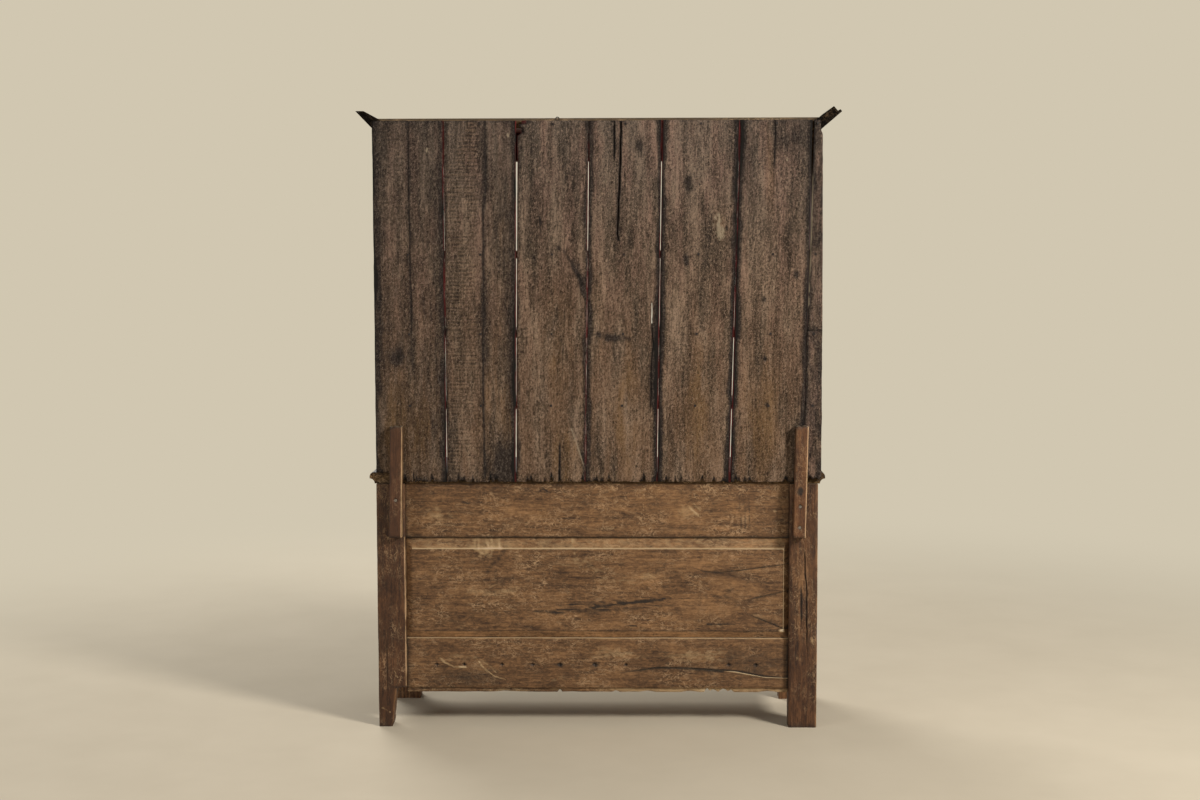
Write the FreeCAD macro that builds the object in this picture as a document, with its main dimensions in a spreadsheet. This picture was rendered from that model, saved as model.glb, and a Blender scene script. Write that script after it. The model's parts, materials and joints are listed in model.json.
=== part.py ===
import FreeCAD, Part
import Sketcher
import os
import re

# A two-part country dresser: a framed buffet with drawers and doors, and an open rack backed with boards.
# The frame: +X to the right seen from the front, +Y to the back, +Z up, origin on the floor at the middle.
# Left and right in the names are as seen from the front.

# Driving dimensions, in millimetres, with angles in degrees.
SIZES = {
    # the whole cabinet
    "cabinet_width": 1400,
    "carcass_depth": 420,
    "table_height": 819,
    "rack_height": 1104,
    # posts, rails and panels of the buffet
    "post_width": 90,
    "post_depth": 60,
    "foot_height": 122,
    "rail_recess": 20,
    "rail_thickness": 26,
    "top_rail_height": 174,
    "bottom_rail_height": 163,
    "tenon_length": 30,
    "tenon_thickness": 10,
    "tenon_shoulder": 4,
    "groove_depth": 10,
    "tongue_thickness": 8,
    "panel_bevel": 24,
    "panel_setback": 1,
    # the worn back foot
    "worn_foot_height": 126,
    "worn_foot_head": 58,
    "worn_foot_sole": 44,
    # the front of the buffet
    "front_rail_height": 30,
    "front_rail_depth": 45,
    "drawer_opening": 133,
    "middle_rail_height": 30,
    "divider_width": 40,
    "mullion_width": 80,
    "stub_length": 10,
    "floor_height": 195,
    "apron_height": 55,
    "bracket_width": 14,
    "bracket_radius": 60,
    # inside the buffet
    "floor_thickness": 18,
    "floor_joint": 1.5,
    "cleat_size": 24,
    "cupboard_shelf_height": 400,
    "cupboard_shelf_thickness": 18,
    "runner_bearing": 20,
    "centre_runner_width": 70,
    "guide_height": 20,
    # the buffet's top
    "top_thickness": 36,
    "top_overhang": 23,
    "front_overhang": 32,
    "ovolo_radius": 14,
    "cavetto_radius": 16,
    # doors, hinges and turn latches
    "door_gap": 2,
    "door_thickness": 24,
    "stile_width": 70,
    "door_rail_width": 70,
    "hinge_height": 70,
    "hinge_inset": 50,
    "barrel_radius": 6,
    "barrel_clearance": 0.5,
    "leaf_thickness": 2,
    "leaf_width": 20,
    "pin_radius": 2.5,
    "pin_head_radius": 4.5,
    "pin_head_height": 4,
    "pin_play": 0.05,
    "knuckle_gap": 0.4,
    "spindle_radius": 5,
    "spindle_play": 0.05,
    "latch_length": 55,
    "latch_width": 20,
    "latch_thickness": 10,
    "latch_clearance": 2,
    # turned knobs
    "knob_radius": 17,
    "knob_foot_radius": 12,
    "knob_foot_height": 4,
    "knob_neck_radius": 8,
    "knob_neck_height": 12,
    "knob_rim_height": 24,
    "knob_height": 33,
    "knob_neck_curve": 16,
    "knob_spigot": 16,
    # drawers
    "drawer_gap": 2,
    "drawer_play": 0.3,
    "drawer_front_thickness": 22,
    "drawer_side_thickness": 12,
    "drawer_back_thickness": 12,
    "drawer_length": 350,
    "drawer_bottom_thickness": 7,
    "drawer_bottom_rise": 10,
    "drawer_groove": 6,
    "drawer_housing": 8,
    "drawer_back_drop": 10,
    "knob_spacing": 300,
    # the rack
    "rack_side_thickness": 28,
    "rack_depth": 270,
    "rack_shelf_thickness": 25,
    "shelf_setback": 20,
    "shelf_housing": 8,
    "lower_clearance": 201,
    "middle_clearance": 201,
    "upper_clearance": 224,
    "plate_groove_width": 8,
    "plate_groove_depth": 4,
    "plate_groove_inset": 60,
    "rack_top_thickness": 22,
    "frieze_height": 113,
    "frieze_thickness": 20,
    # the sprung cornice
    "crown_projection": 50,
    "crown_rise": 52,
    "crown_thickness": 26,
    "crown_drop": 21,
    "bead_width": 14,
    "bead_height": 13,
    # the cornice board of the left end, measured across its face and through its thickness
    "end_crown_spring": 40.5,
    "end_crown_drop": 29,
    "end_crown_width": 75,
    "end_crown_thickness": 29,
    "lip_width": 9,
    "lip_thickness": 9,
    # back boards, from the right end of the cabinet to the left, each at its head and its foot
    "board_thickness": 20,
    "board_drop": 30,
    "board_gap": 6,
    "board_2_head": 230,
    "board_2_foot": 219,
    "board_3_head": 225,
    "board_3_foot": 220,
    "board_4_head": 228,
    "board_4_foot": 227,
    "board_5_head": 242,
    "board_5_foot": 229,
    "board_6_head": 228,
    "board_6_foot": 230,
    "strip_head": 24,
    "strip_foot": 50,
    "strip_split": 448,
    "strip_joint": 3,
    "strip_overhang": 10,
    "board_notch_width": 45,
    "board_notch_height": 33,
    # cut nails
    "nail_shank": 3,
    "nail_head": 7,
    "nail_head_thickness": 2,
    "nail_length": 45,
    # battens that tie the rack to the buffet, with their screws
    # their heights are taken from the lower edge of the back's top rail
    "batten_width": 39,
    "batten_thickness": 32,
    "batten_length": 357,
    "batten_height": 7,
    "batten_inset_left": 58,
    "batten_inset_right": 67,
    "batten_tilt": 1.1,
    "screw_radius": 2.2,
    "screw_head_radius": 4.5,
    "screw_head_height": 3,
    "screw_sink": 1.5,
    "screw_length": 54,
    "screw_play": 0.05,
    "screw_rise_low": 41,
    "screw_rise_middle": 107,
    "screw_rise_high": 127,
    # the screw eye on the rack's top
    "eye_radius": 5.5,
    "eye_wire": 1.5,
    "eye_shank": 14,
    "eye_offset": 121,
    "eye_inset": 12,
}

doc = FreeCAD.newDocument("china_cabinet")
sheet = doc.addObject("Spreadsheet::Sheet", "sizes")
for row, (alias, size) in enumerate(SIZES.items(), start=1):
    sheet.set(f"A{row}", alias)
    sheet.set(f"B{row}", str(size))
    sheet.setAlias(f"B{row}", alias)
doc.recompute()

AXIS_X = FreeCAD.Vector(1, 0, 0)
AXIS_Y = FreeCAD.Vector(0, 1, 0)
AXIS_Z = FreeCAD.Vector(0, 0, 1)

# Main faces, as expressions of the driving dimensions.
SIDE = "(cabinet_width / 2)"
INNER = f"({SIDE} - post_width)"
BACK = "(carcass_depth / 2)"
FRONT = "(-carcass_depth / 2)"
POST_BEHIND = f"({BACK} - post_depth)"
POST_BEFORE = f"({FRONT} + post_depth)"
POST_TOP = "(table_height - top_thickness)"
RAIL_OUT = f"({BACK} - rail_recess)"
RAIL_IN = f"({RAIL_OUT} - rail_thickness)"
SIDE_RAIL_OUT = f"({SIDE} - rail_recess)"
SIDE_RAIL_IN = f"({SIDE_RAIL_OUT} - rail_thickness)"
RAIL_GROOVE = "((rail_thickness - tongue_thickness) / 2)"
PANEL_LOW = "(foot_height + bottom_rail_height)"
PANEL_HIGH = f"({POST_TOP} - top_rail_height)"
TOP_RAIL_LOW = f"({POST_TOP} - front_rail_height)"
DRAWER_LOW = f"({TOP_RAIL_LOW} - drawer_opening)"
MIDDLE_LOW = f"({DRAWER_LOW} - middle_rail_height)"
FRAME_BACK = f"({FRONT} + rail_thickness)"
RACK_TOP = "(table_height + rack_height)"
RACK_FRONT = f"({BACK} - rack_depth)"
RACK_FACE = f"({RACK_FRONT} - frieze_thickness)"
RACK_INNER = f"({SIDE} - rack_side_thickness)"
FRIEZE_LOW = f"({RACK_TOP} - frieze_height)"
BOARD_IN = f"({BACK} - board_thickness)"
BOARD_FOOT = "(table_height - board_drop)"

parts = {}


def bound(text):
    """The expression with each size name pointed at its cell in the sheet."""
    return re.sub(r"[a-z]\w+", lambda word: f"sizes.{word[0]}" if word[0] in SIZES else word[0], text)


def value(text):
    """The present value of an expression."""
    return float(sheet.evalExpression(bound(text)))


def bind(item, expressions):
    """Tie properties of an object to expressions."""
    for name, text in expressions.items():
        item.setExpression(name, bound(text))
    return item


def node(name, item):
    """Take an object as a finished piece under its own name."""
    item.Label = name
    parts[name] = item
    return item


def block(name, x, y, z):
    """A box from its low to its high face along each axis."""
    item = doc.addObject("Part::Box", name)
    for side, axis, (low, high) in zip(("Length", "Width", "Height"), "xyz", (x, y, z)):
        bind(item, {side: f"({high}) - ({low})", f"Placement.Base.{axis}": low})
    return item


def wedge(name, rotation, near, far, depth):
    """A block along its own Y axis, with one rectangle at its near end and another at its far end."""
    item = doc.addObject("Part::Wedge", name)
    item.Placement = FreeCAD.Placement(FreeCAD.Vector(), rotation)
    (near_x, near_z), (far_x, far_z) = near, far
    bind(item, {"Xmin": near_x[0], "Xmax": near_x[1], "Zmin": near_z[0], "Zmax": near_z[1]})
    bind(item, {"X2min": far_x[0], "X2max": far_x[1], "Z2min": far_z[0], "Z2max": far_z[1]})
    return bind(item, {"Ymin": depth[0], "Ymax": depth[1]})


def leaning(name, foot, head, y, z):
    """An upright board of even thickness whose foot and head lie at different places along X."""
    across = (f"-({y[1]})", f"-({y[0]})")
    return wedge(name, FreeCAD.Rotation(AXIS_X, 90), (foot, across), (head, across), z)


def rod(name, axis, radius, start, length):
    """A round bar from a start point along an axis."""
    turns = {"x": FreeCAD.Rotation(AXIS_Y, 90), "y": FreeCAD.Rotation(AXIS_X, -90), "z": FreeCAD.Rotation()}
    item = doc.addObject("Part::Cylinder", name)
    item.Placement = FreeCAD.Placement(FreeCAD.Vector(), turns[axis])
    bind(item, {"Radius": radius, "Height": length})
    return bind(item, {f"Placement.Base.{key}": text for key, text in zip("xyz", start)})


def fuse(name, *items):
    """One piece from several touching or overlapping shapes."""
    item = doc.addObject("Part::MultiFuse", name)
    item.Shapes = list(items)
    item.Refine = True
    return item


def cut(name, base, *tools):
    """A piece with other shapes taken out of it, one after the other."""
    for number, tool in enumerate(tools, start=1):
        item = doc.addObject("Part::Cut", name if number == len(tools) else f"{name}_cut_{number}")
        item.Base = base
        item.Tool = tool
        base = item
    return base


def group(name, items):
    """Separate like pieces under one name."""
    item = doc.addObject("Part::Compound", name)
    item.Links = list(items)
    return item


def handed(hand, low, high):
    """A span along X on the right, or the same span mirrored to the left."""
    return (low, high) if hand == "right" else (f"-({high})", f"-({low})")


def tenoned(name, axis, x, y, z, length, shoulder):
    """A rail between its shoulders, with a tenon at each end along the axis."""
    thin = {"x": "y", "y": "x", "z": "y"}[axis]
    tenon = {}
    for key, (low, high) in zip("xyz", (x, y, z)):
        middle = f"(({low}) + ({high})) / 2"
        if key == axis:
            tenon[key] = (f"({low}) - {length}", f"({high}) + {length}")
        elif key == thin:
            tenon[key] = (f"{middle} - tenon_thickness / 2", f"{middle} + tenon_thickness / 2")
        else:
            tenon[key] = (f"({low}) + {shoulder}", f"({high}) - {shoulder}")
    body = block(f"{name}_body", x, y, z)
    return fuse(f"{name}_tenoned", body, block(f"{name}_tenons", **tenon))


def raised_panel(name, turn, spread, depth, height):
    """A panel whose tongue runs in grooves all round and whose bevelled field faces out.

    The spans are taken with the field facing +Y, and the panel is then turned about Z."""
    rotation = FreeCAD.Rotation(AXIS_Z, turn)
    shoulder = f"({depth[0]}) + tongue_thickness"
    tongue = [(f"({low}) - groove_depth", f"({high}) + groove_depth") for low, high in (spread, height)]
    face = [(f"({low}) + panel_bevel", f"({high}) - panel_bevel") for low, high in (spread, height)]
    plate = wedge(f"{name}_plate", rotation, tongue, tongue, (depth[0], shoulder))
    field = wedge(f"{name}_field", rotation, (spread, height), face, (shoulder, depth[1]))
    return node(name, fuse(name, plate, field))


def draw(sketch, corners):
    """A closed outline, anticlockwise, whose corners are bound to expressions.

    A corner with a third entry starts an arc of that radius, hollow if a minus sign leads it."""
    points = [FreeCAD.Vector(value(corner[0]), value(corner[1]), 0) for corner in corners]
    ends = []
    for number, corner in enumerate(corners):
        start, end = points[number], points[(number + 1) % len(points)]
        if len(corner) == 2:
            sketch.addGeometry(Part.LineSegment(start, end))
            ends.append((1, 2))
            continue
        hollow = corner[2].startswith("-")
        radius = value(corner[2].lstrip("-"))
        half = (end - start) * 0.5
        left = FreeCAD.Vector(-half.y, half.x, 0).normalize()
        reach = (radius ** 2 - half.Length ** 2) ** 0.5
        centre = start + half + left * (-reach if hollow else reach)
        first, last = (end, start) if hollow else (start, end)
        angles = []
        for point in (first, last):
            side = 1 if point.y >= centre.y else -1
            angles.append(AXIS_X.getAngle(point - centre) * side)
        sketch.addGeometry(Part.ArcOfCircle(Part.Circle(centre, AXIS_Z, radius), *angles))
        ends.append((2, 1) if hollow else (1, 2))
    for number in range(len(corners)):
        after = (number + 1) % len(corners)
        meeting = (number, ends[number][1], after, ends[after][0])
        sketch.addConstraint(Sketcher.Constraint("Coincident", *meeting))
    for number, corner in enumerate(corners):
        point = points[number]
        for kind, text, size in (("DistanceX", corner[0], point.x), ("DistanceY", corner[1], point.y)):
            place = sketch.addConstraint(Sketcher.Constraint(kind, -1, 1, number, ends[number][0], size))
            sketch.setExpression(f"Constraints[{place}]", bound(text))
        if len(corner) == 3:
            radius = corner[2].lstrip("-")
            place = sketch.addConstraint(Sketcher.Constraint("Radius", number, value(radius)))
            sketch.setExpression(f"Constraints[{place}]", bound(radius))


def body_with_outline(name, role, corners):
    """A body with one sketch on an origin plane."""
    body = doc.addObject("PartDesign::Body", name)
    sketch = body.newObject("Sketcher::SketchObject", f"{name}_outline")
    plane = [item for item in body.Origin.OriginFeatures if item.Role == role][0]
    sketch.AttachmentSupport = (plane, "")
    sketch.MapMode = "FlatFace"
    draw(sketch, corners)
    doc.recompute()
    return body, sketch


def turned(name, corners, x, z):
    """A piece turned about an axis that points straight out of the buffet's front."""
    body, sketch = body_with_outline(name, "XY_Plane", corners)
    revolution = body.newObject("PartDesign::Revolution", f"{name}_turning")
    revolution.Profile = sketch
    revolution.ReferenceAxis = (sketch, ["V_Axis"])
    revolution.Angle = 360
    body.Placement = FreeCAD.Placement(FreeCAD.Vector(), FreeCAD.Rotation(AXIS_Z, 180))
    bind(body, {"Placement.Base.x": x, "Placement.Base.y": FRONT, "Placement.Base.z": z})
    return body


def knob_outline(radius, depth):
    """Half the section of a knob: a spigot of a given radius and depth, a neck and a domed head."""
    dome = "(knob_height - knob_rim_height)"
    dome_radius = f"(knob_radius * knob_radius + {dome} * {dome}) / (2 * {dome})"
    return [
        ("0", f"-({depth})"),
        (radius, f"-({depth})"),
        (radius, "0"),
        ("knob_foot_radius", "0"),
        ("knob_foot_radius", "knob_foot_height"),
        ("knob_neck_radius", "knob_neck_height", "-knob_neck_curve"),
        ("knob_radius", "knob_rim_height", dome_radius),
        ("0", "knob_height"),
    ]


def buffet_sides():
    """Framed ends of the buffet: two rails and a raised panel on each side."""
    height = (PANEL_LOW, PANEL_HIGH)
    levels = {"bottom": ("foot_height", PANEL_LOW), "top": (PANEL_HIGH, POST_TOP)}
    shoulder = "(groove_depth + tenon_shoulder)"
    depth = (f"{SIDE_RAIL_IN} + {RAIL_GROOVE}", f"{SIDE_RAIL_OUT} - panel_setback")
    for hand, turn in (("left", 90), ("right", -90)):
        panel = raised_panel(f"side_panel_{hand}", turn, (POST_BEFORE, POST_BEHIND), depth, height)
        rails = []
        for level, z in levels.items():
            name = f"side_{level}_rail_{hand}"
            x = handed(hand, SIDE_RAIL_IN, SIDE_RAIL_OUT)
            rail = tenoned(name, "y", x, (POST_BEFORE, POST_BEHIND), z, "tenon_length", shoulder)
            rails.append(cut(name, rail, panel))
        node(f"side_rails_{hand}", group(f"side_rails_{hand}", rails))


def buffet_back():
    """The framed back of the buffet: a wide rail above and below one long raised panel."""
    x = (f"-{INNER}", INNER)
    y = (RAIL_IN, RAIL_OUT)
    shoulder = "(groove_depth + tenon_shoulder)"
    depth = (f"{RAIL_IN} + {RAIL_GROOVE}", f"{RAIL_OUT} - panel_setback")
    panel = raised_panel("back_panel", 0, x, depth, (PANEL_LOW, PANEL_HIGH))
    levels = {"back_top_rail": (PANEL_HIGH, POST_TOP), "back_bottom_rail": ("foot_height", PANEL_LOW)}
    for name, z in levels.items():
        rail = tenoned(name, "x", x, y, z, "tenon_length", shoulder)
        node(name, cut(name, rail, panel))


def buffet_front():
    """Rails, divider, mullion and shaped apron between the front posts."""
    x = (f"-{INNER}", INNER)
    rail_y = (FRONT, f"{FRONT} + front_rail_depth")
    top_z = (TOP_RAIL_LOW, POST_TOP)
    top = tenoned("front_top_rail", "x", x, rail_y, top_z, "tenon_length", "tenon_shoulder")
    middle_y = (FRONT, POST_BEFORE)
    middle_z = (MIDDLE_LOW, DRAWER_LOW)
    middle = tenoned("front_middle_rail", "x", x, middle_y, middle_z, "tenon_length", "tenon_shoulder")
    divider_x = ("-divider_width / 2", "divider_width / 2")
    divider_z = (DRAWER_LOW, TOP_RAIL_LOW)
    divider = tenoned("drawer_divider", "z", divider_x, rail_y, divider_z, "stub_length", "tenon_shoulder")
    node("drawer_divider", divider)
    mullion_x = ("-mullion_width / 2", "mullion_width / 2")
    mullion_y = (FRONT, FRAME_BACK)
    mullion_z = ("floor_height", MIDDLE_LOW)
    mullion = tenoned("door_mullion", "z", mullion_x, mullion_y, mullion_z, "stub_length", "tenon_shoulder")
    node("door_mullion", mullion)
    apron_low = "(floor_height - apron_height)"
    bracket_low = f"({apron_low} - bracket_radius)"
    arch = f"({INNER} - bracket_width)"
    body, sketch = body_with_outline("front_apron_board", "XZ_Plane", [
        (f"-{INNER}", bracket_low),
        (f"-{arch}", bracket_low, "-bracket_radius"),
        (f"-({arch} - bracket_radius)", apron_low),
        (f"{arch} - bracket_radius", apron_low, "-bracket_radius"),
        (arch, bracket_low),
        (INNER, bracket_low),
        (INNER, "floor_height"),
        (f"-{INNER}", "floor_height"),
    ])
    pad = body.newObject("PartDesign::Pad", "front_apron_pad")
    pad.Profile = sketch
    bind(pad, {"Length": "rail_thickness"})
    bind(body, {"Placement.Base.y": FRAME_BACK})
    tenons = block("front_apron_tenons", (f"-{INNER} - tenon_length", f"{INNER} + tenon_length"),
                   (f"{FRONT} + (rail_thickness - tenon_thickness) / 2",
                    f"{FRONT} + (rail_thickness + tenon_thickness) / 2"),
                   (f"{apron_low} + tenon_shoulder", "floor_height - tenon_shoulder"))
    apron = fuse("front_apron_tenoned", body, tenons)
    node("front_top_rail", cut("front_top_rail", top, divider))
    node("front_middle_rail", cut("front_middle_rail", middle, divider, mullion))
    node("front_apron", cut("front_apron", apron, mullion))


def buffet_inside():
    """Drawer runners, the floor and the cupboard's shelf, with the cleats under them."""
    runner_z = (MIDDLE_LOW, DRAWER_LOW)
    runners = []
    for hand in ("left", "right"):
        x = handed(hand, f"{INNER} - runner_bearing", SIDE_RAIL_IN)
        runners.append(block(f"drawer_runner_{hand}", x, (POST_BEFORE, POST_BEHIND), runner_z))
    centre_x = ("-centre_runner_width / 2", "centre_runner_width / 2")
    runners.append(block("drawer_runner_centre", centre_x, (POST_BEFORE, RAIL_IN), runner_z))
    guide_x = ("-divider_width / 2", "divider_width / 2")
    guide_y = (f"{FRONT} + front_rail_depth", RAIL_IN)
    runners.append(block("drawer_guide", guide_x, guide_y, (DRAWER_LOW, f"{DRAWER_LOW} + guide_height")))
    node("drawer_runners", group("drawer_runners", runners))

    floor_z = ("floor_height - floor_thickness", "floor_height")
    board_count = 8
    pitch = f"(2 * {INNER} / {board_count})"
    boards = []
    for number in range(board_count):
        left = f"-{INNER} + {number} * {pitch}"
        x = (f"{left} + floor_joint / 2", f"{left} + {pitch} - floor_joint / 2")
        board = block(f"floor_board_{number + 1}", x, (FRAME_BACK, RAIL_IN), floor_z)
        if number in (0, board_count - 1):
            hand = "left" if number == 0 else "right"
            ear_x = handed(hand, f"{INNER} - {pitch} + floor_joint / 2", SIDE_RAIL_IN)
            ear = block(f"floor_ear_{hand}", ear_x, (POST_BEFORE, POST_BEHIND), floor_z)
            board = fuse(f"floor_board_{hand}", board, ear)
        boards.append(board)
    node("floor_boards", group("floor_boards", boards))

    shelf_low = "(cupboard_shelf_height - cupboard_shelf_thickness)"
    shelf_z = (shelf_low, "cupboard_shelf_height")
    wide_x = (f"-{SIDE_RAIL_IN}", SIDE_RAIL_IN)
    wide = block("cupboard_shelf_wide", wide_x, (POST_BEFORE, POST_BEHIND), shelf_z)
    deep = block("cupboard_shelf_deep", (f"-{INNER}", INNER), (POST_BEFORE, RAIL_IN), shelf_z)
    node("cupboard_shelf", fuse("cupboard_shelf", wide, deep))

    cleat_z = ("floor_height - floor_thickness - cleat_size", "floor_height - floor_thickness")
    cleat_x = (f"-{INNER}", INNER)
    cleats = [
        block("floor_cleat_front", cleat_x, (FRAME_BACK, f"{FRAME_BACK} + cleat_size"), cleat_z),
        block("floor_cleat_back", cleat_x, (f"{RAIL_IN} - cleat_size", RAIL_IN), cleat_z),
    ]
    for hand in ("left", "right"):
        x = handed(hand, f"{INNER} - cleat_size", INNER)
        y = (f"{POST_BEFORE} - cleat_size", RAIL_IN)
        cleats.append(block(f"shelf_cleat_{hand}", x, y, (f"{shelf_low} - cleat_size", shelf_low)))
    node("cleats", group("cleats", cleats))


def buffet_top():
    """The buffet's top, with an ovolo above a cavetto run along its front and both ends."""
    half = f"({SIDE} + top_overhang)"
    front = f"({FRONT} - front_overhang)"
    length = f"(2 * {half})"
    depth = f"({BOARD_IN} - {front})"
    slab = block("top_slab", (f"-{half}", half), (front, BOARD_IN), (POST_TOP, "table_height"))
    centre = "table_height - ovolo_radius"
    waste = []
    for hand, sign in (("left", "-"), ("right", "")):
        edge = f"{sign}{half}"
        axis = f"{sign}({half} - ovolo_radius)"
        hollow = rod(f"top_cavetto_{hand}", "y", "cavetto_radius", (edge, front, POST_TOP), depth)
        bar = block(f"top_arris_{hand}", handed(hand, f"{half} - ovolo_radius", half), (front, BOARD_IN),
                    (centre, "table_height"))
        round_bar = rod(f"top_ovolo_{hand}", "y", "ovolo_radius", (axis, front, centre), depth)
        waste += [hollow, cut(f"top_waste_{hand}", bar, round_bar)]
    hollow = rod("top_cavetto_front", "x", "cavetto_radius", (f"-{half}", front, POST_TOP), length)
    axis = f"{front} + ovolo_radius"
    bar = block("top_arris_front", (f"-{half}", half), (front, axis), (centre, "table_height"))
    round_bar = rod("top_ovolo_front", "x", "ovolo_radius", (f"-{half}", axis, centre), length)
    waste += [hollow, cut("top_waste_front", bar, round_bar)]
    node("buffet_top", cut("buffet_top", slab, *waste))


def hinge_halves(hand, level, low):
    """A two-knuckle hinge: the post's leaf and knuckle, the door's leaf and knuckle, and the pin."""
    sign = "" if hand == "right" else "-"
    tag = f"{hand}_{level}"
    offset = "(barrel_radius + barrel_clearance)"
    axis_x = f"{sign}({INNER} - door_gap / 2)"
    axis_y = f"({FRONT} - {offset})"
    middle = f"({low} + hinge_height / 2)"
    high = f"({low} + hinge_height)"
    leaf_y = (FRONT, f"{FRONT} + leaf_width")
    neck_y = (axis_y, FRONT)
    spans = {
        "post": (handed(hand, INNER, f"{INNER} + leaf_thickness"), (low, f"{middle} - knuckle_gap / 2")),
        "door": (handed(hand, f"{INNER} - door_gap - leaf_thickness", f"{INNER} - door_gap"),
                 (f"{middle} + knuckle_gap / 2", high)),
    }
    halves = {}
    for owner, (x, knuckle_z) in spans.items():
        leaf = block(f"{owner}_leaf_{tag}", x, leaf_y, (low, high))
        neck = block(f"{owner}_neck_{tag}", x, neck_y, knuckle_z)
        length = f"({knuckle_z[1]}) - ({knuckle_z[0]})"
        start = (axis_x, axis_y, knuckle_z[0])
        barrel = rod(f"{owner}_barrel_{tag}", "z", "barrel_radius", start, length)
        bore = rod(f"{owner}_bore_{tag}", "z", "pin_radius + pin_play", start, length)
        blank = fuse(f"{owner}_hinge_blank_{tag}", leaf, neck, barrel)
        halves[owner] = cut(f"{owner}_hinge_{tag}", blank, bore)
    shaft = rod(f"pin_shaft_{tag}", "z", "pin_radius", (axis_x, axis_y, low), "hinge_height + knuckle_gap")
    head_start = (axis_x, axis_y, f"{high} + knuckle_gap")
    head = rod(f"pin_head_{tag}", "z", "pin_head_radius", head_start, "pin_head_height")
    return halves["post"], halves["door"], fuse(f"pin_{tag}", shaft, head)


def doors():
    """Two framed doors with raised panels, hung on pinned hinges and closed by turn latches."""
    low_x = "(mullion_width / 2 + door_gap)"
    high_x = f"({INNER} - door_gap)"
    low_z = "(floor_height + door_gap)"
    high_z = f"({MIDDLE_LOW} - door_gap)"
    y = (FRONT, f"{FRONT} + door_thickness")
    sight_x = (f"{low_x} + stile_width", f"{high_x} - stile_width")
    sight_z = (f"{low_z} + door_rail_width", f"{high_z} - door_rail_width")
    out = "(carcass_depth / 2)"
    depth = (f"{out} - door_thickness + (door_thickness - tongue_thickness) / 2", f"{out} - panel_setback")
    levels = {"lower": f"({low_z} + hinge_inset)", "upper": f"({high_z} - hinge_inset - hinge_height)"}
    post_hinges = []
    for hand in ("left", "right"):
        sign = "" if hand == "right" else "-"
        flipped = "left" if hand == "right" else "right"
        panel = raised_panel(f"{hand}_door_panel", 180, handed(flipped, *sight_x), depth, sight_z)
        halves = [hinge_halves(hand, level, low) for level, low in levels.items()]
        post_hinges += [piece for post_half, door_half, pin in halves for piece in (post_half, pin)]
        hinges = node(f"{hand}_door_hinges", group(f"{hand}_door_hinges", [half[1] for half in halves]))
        latch_x = f"{sign}({low_x} + stile_width / 2)"
        latch_z = f"(({low_z} + {high_z}) / 2)"
        hole = rod(f"{hand}_spindle_hole", "y", "spindle_radius + spindle_play", (latch_x, FRONT, latch_z),
                   "door_thickness")
        frame = []
        rails = []
        for level, z in (("lower", (low_z, sight_z[0])), ("upper", (sight_z[1], high_z))):
            name = f"{hand}_door_{level}_rail"
            shoulder = "(groove_depth + tenon_shoulder)"
            rail = tenoned(name, "x", handed(hand, *sight_x), y, z, "tenon_length", shoulder)
            rails.append(cut(name, rail, panel))
        for place, x in (("meeting", (low_x, sight_x[0])), ("hanging", (sight_x[1], high_x))):
            name = f"{hand}_door_{place}_stile"
            blank = block(f"{name}_blank", handed(hand, *x), y, (low_z, high_z))
            fitting = hole if place == "meeting" else hinges
            frame.append(cut(name, blank, panel, *rails, fitting))
        node(f"{hand}_door_frame", group(f"{hand}_door_frame", frame + rails))
        reach = "(rail_thickness + latch_clearance + latch_thickness)"
        knob = turned(f"{hand}_latch_knob", knob_outline("spindle_radius", reach), latch_x, latch_z)
        tongue_y = (f"{FRAME_BACK} + latch_clearance", f"{FRAME_BACK} + latch_clearance + latch_thickness")
        tongue_x = handed(hand, f"{low_x} + stile_width / 2 - latch_width / 2",
                          f"{low_x} + stile_width / 2 + latch_width / 2")
        tongue = block(f"{hand}_latch_tongue_blank", tongue_x, tongue_y,
                       (f"{latch_z} - latch_length", f"{latch_z} + latch_width / 2"))
        eye_start = (latch_x, tongue_y[0], latch_z)
        eye = rod(f"{hand}_latch_eye", "y", "spindle_radius", eye_start, "latch_thickness")
        node(f"{hand}_latch", group(f"{hand}_latch", [knob, cut(f"{hand}_latch_tongue", tongue, eye)]))
    node("post_hinges", group("post_hinges", post_hinges))


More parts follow.
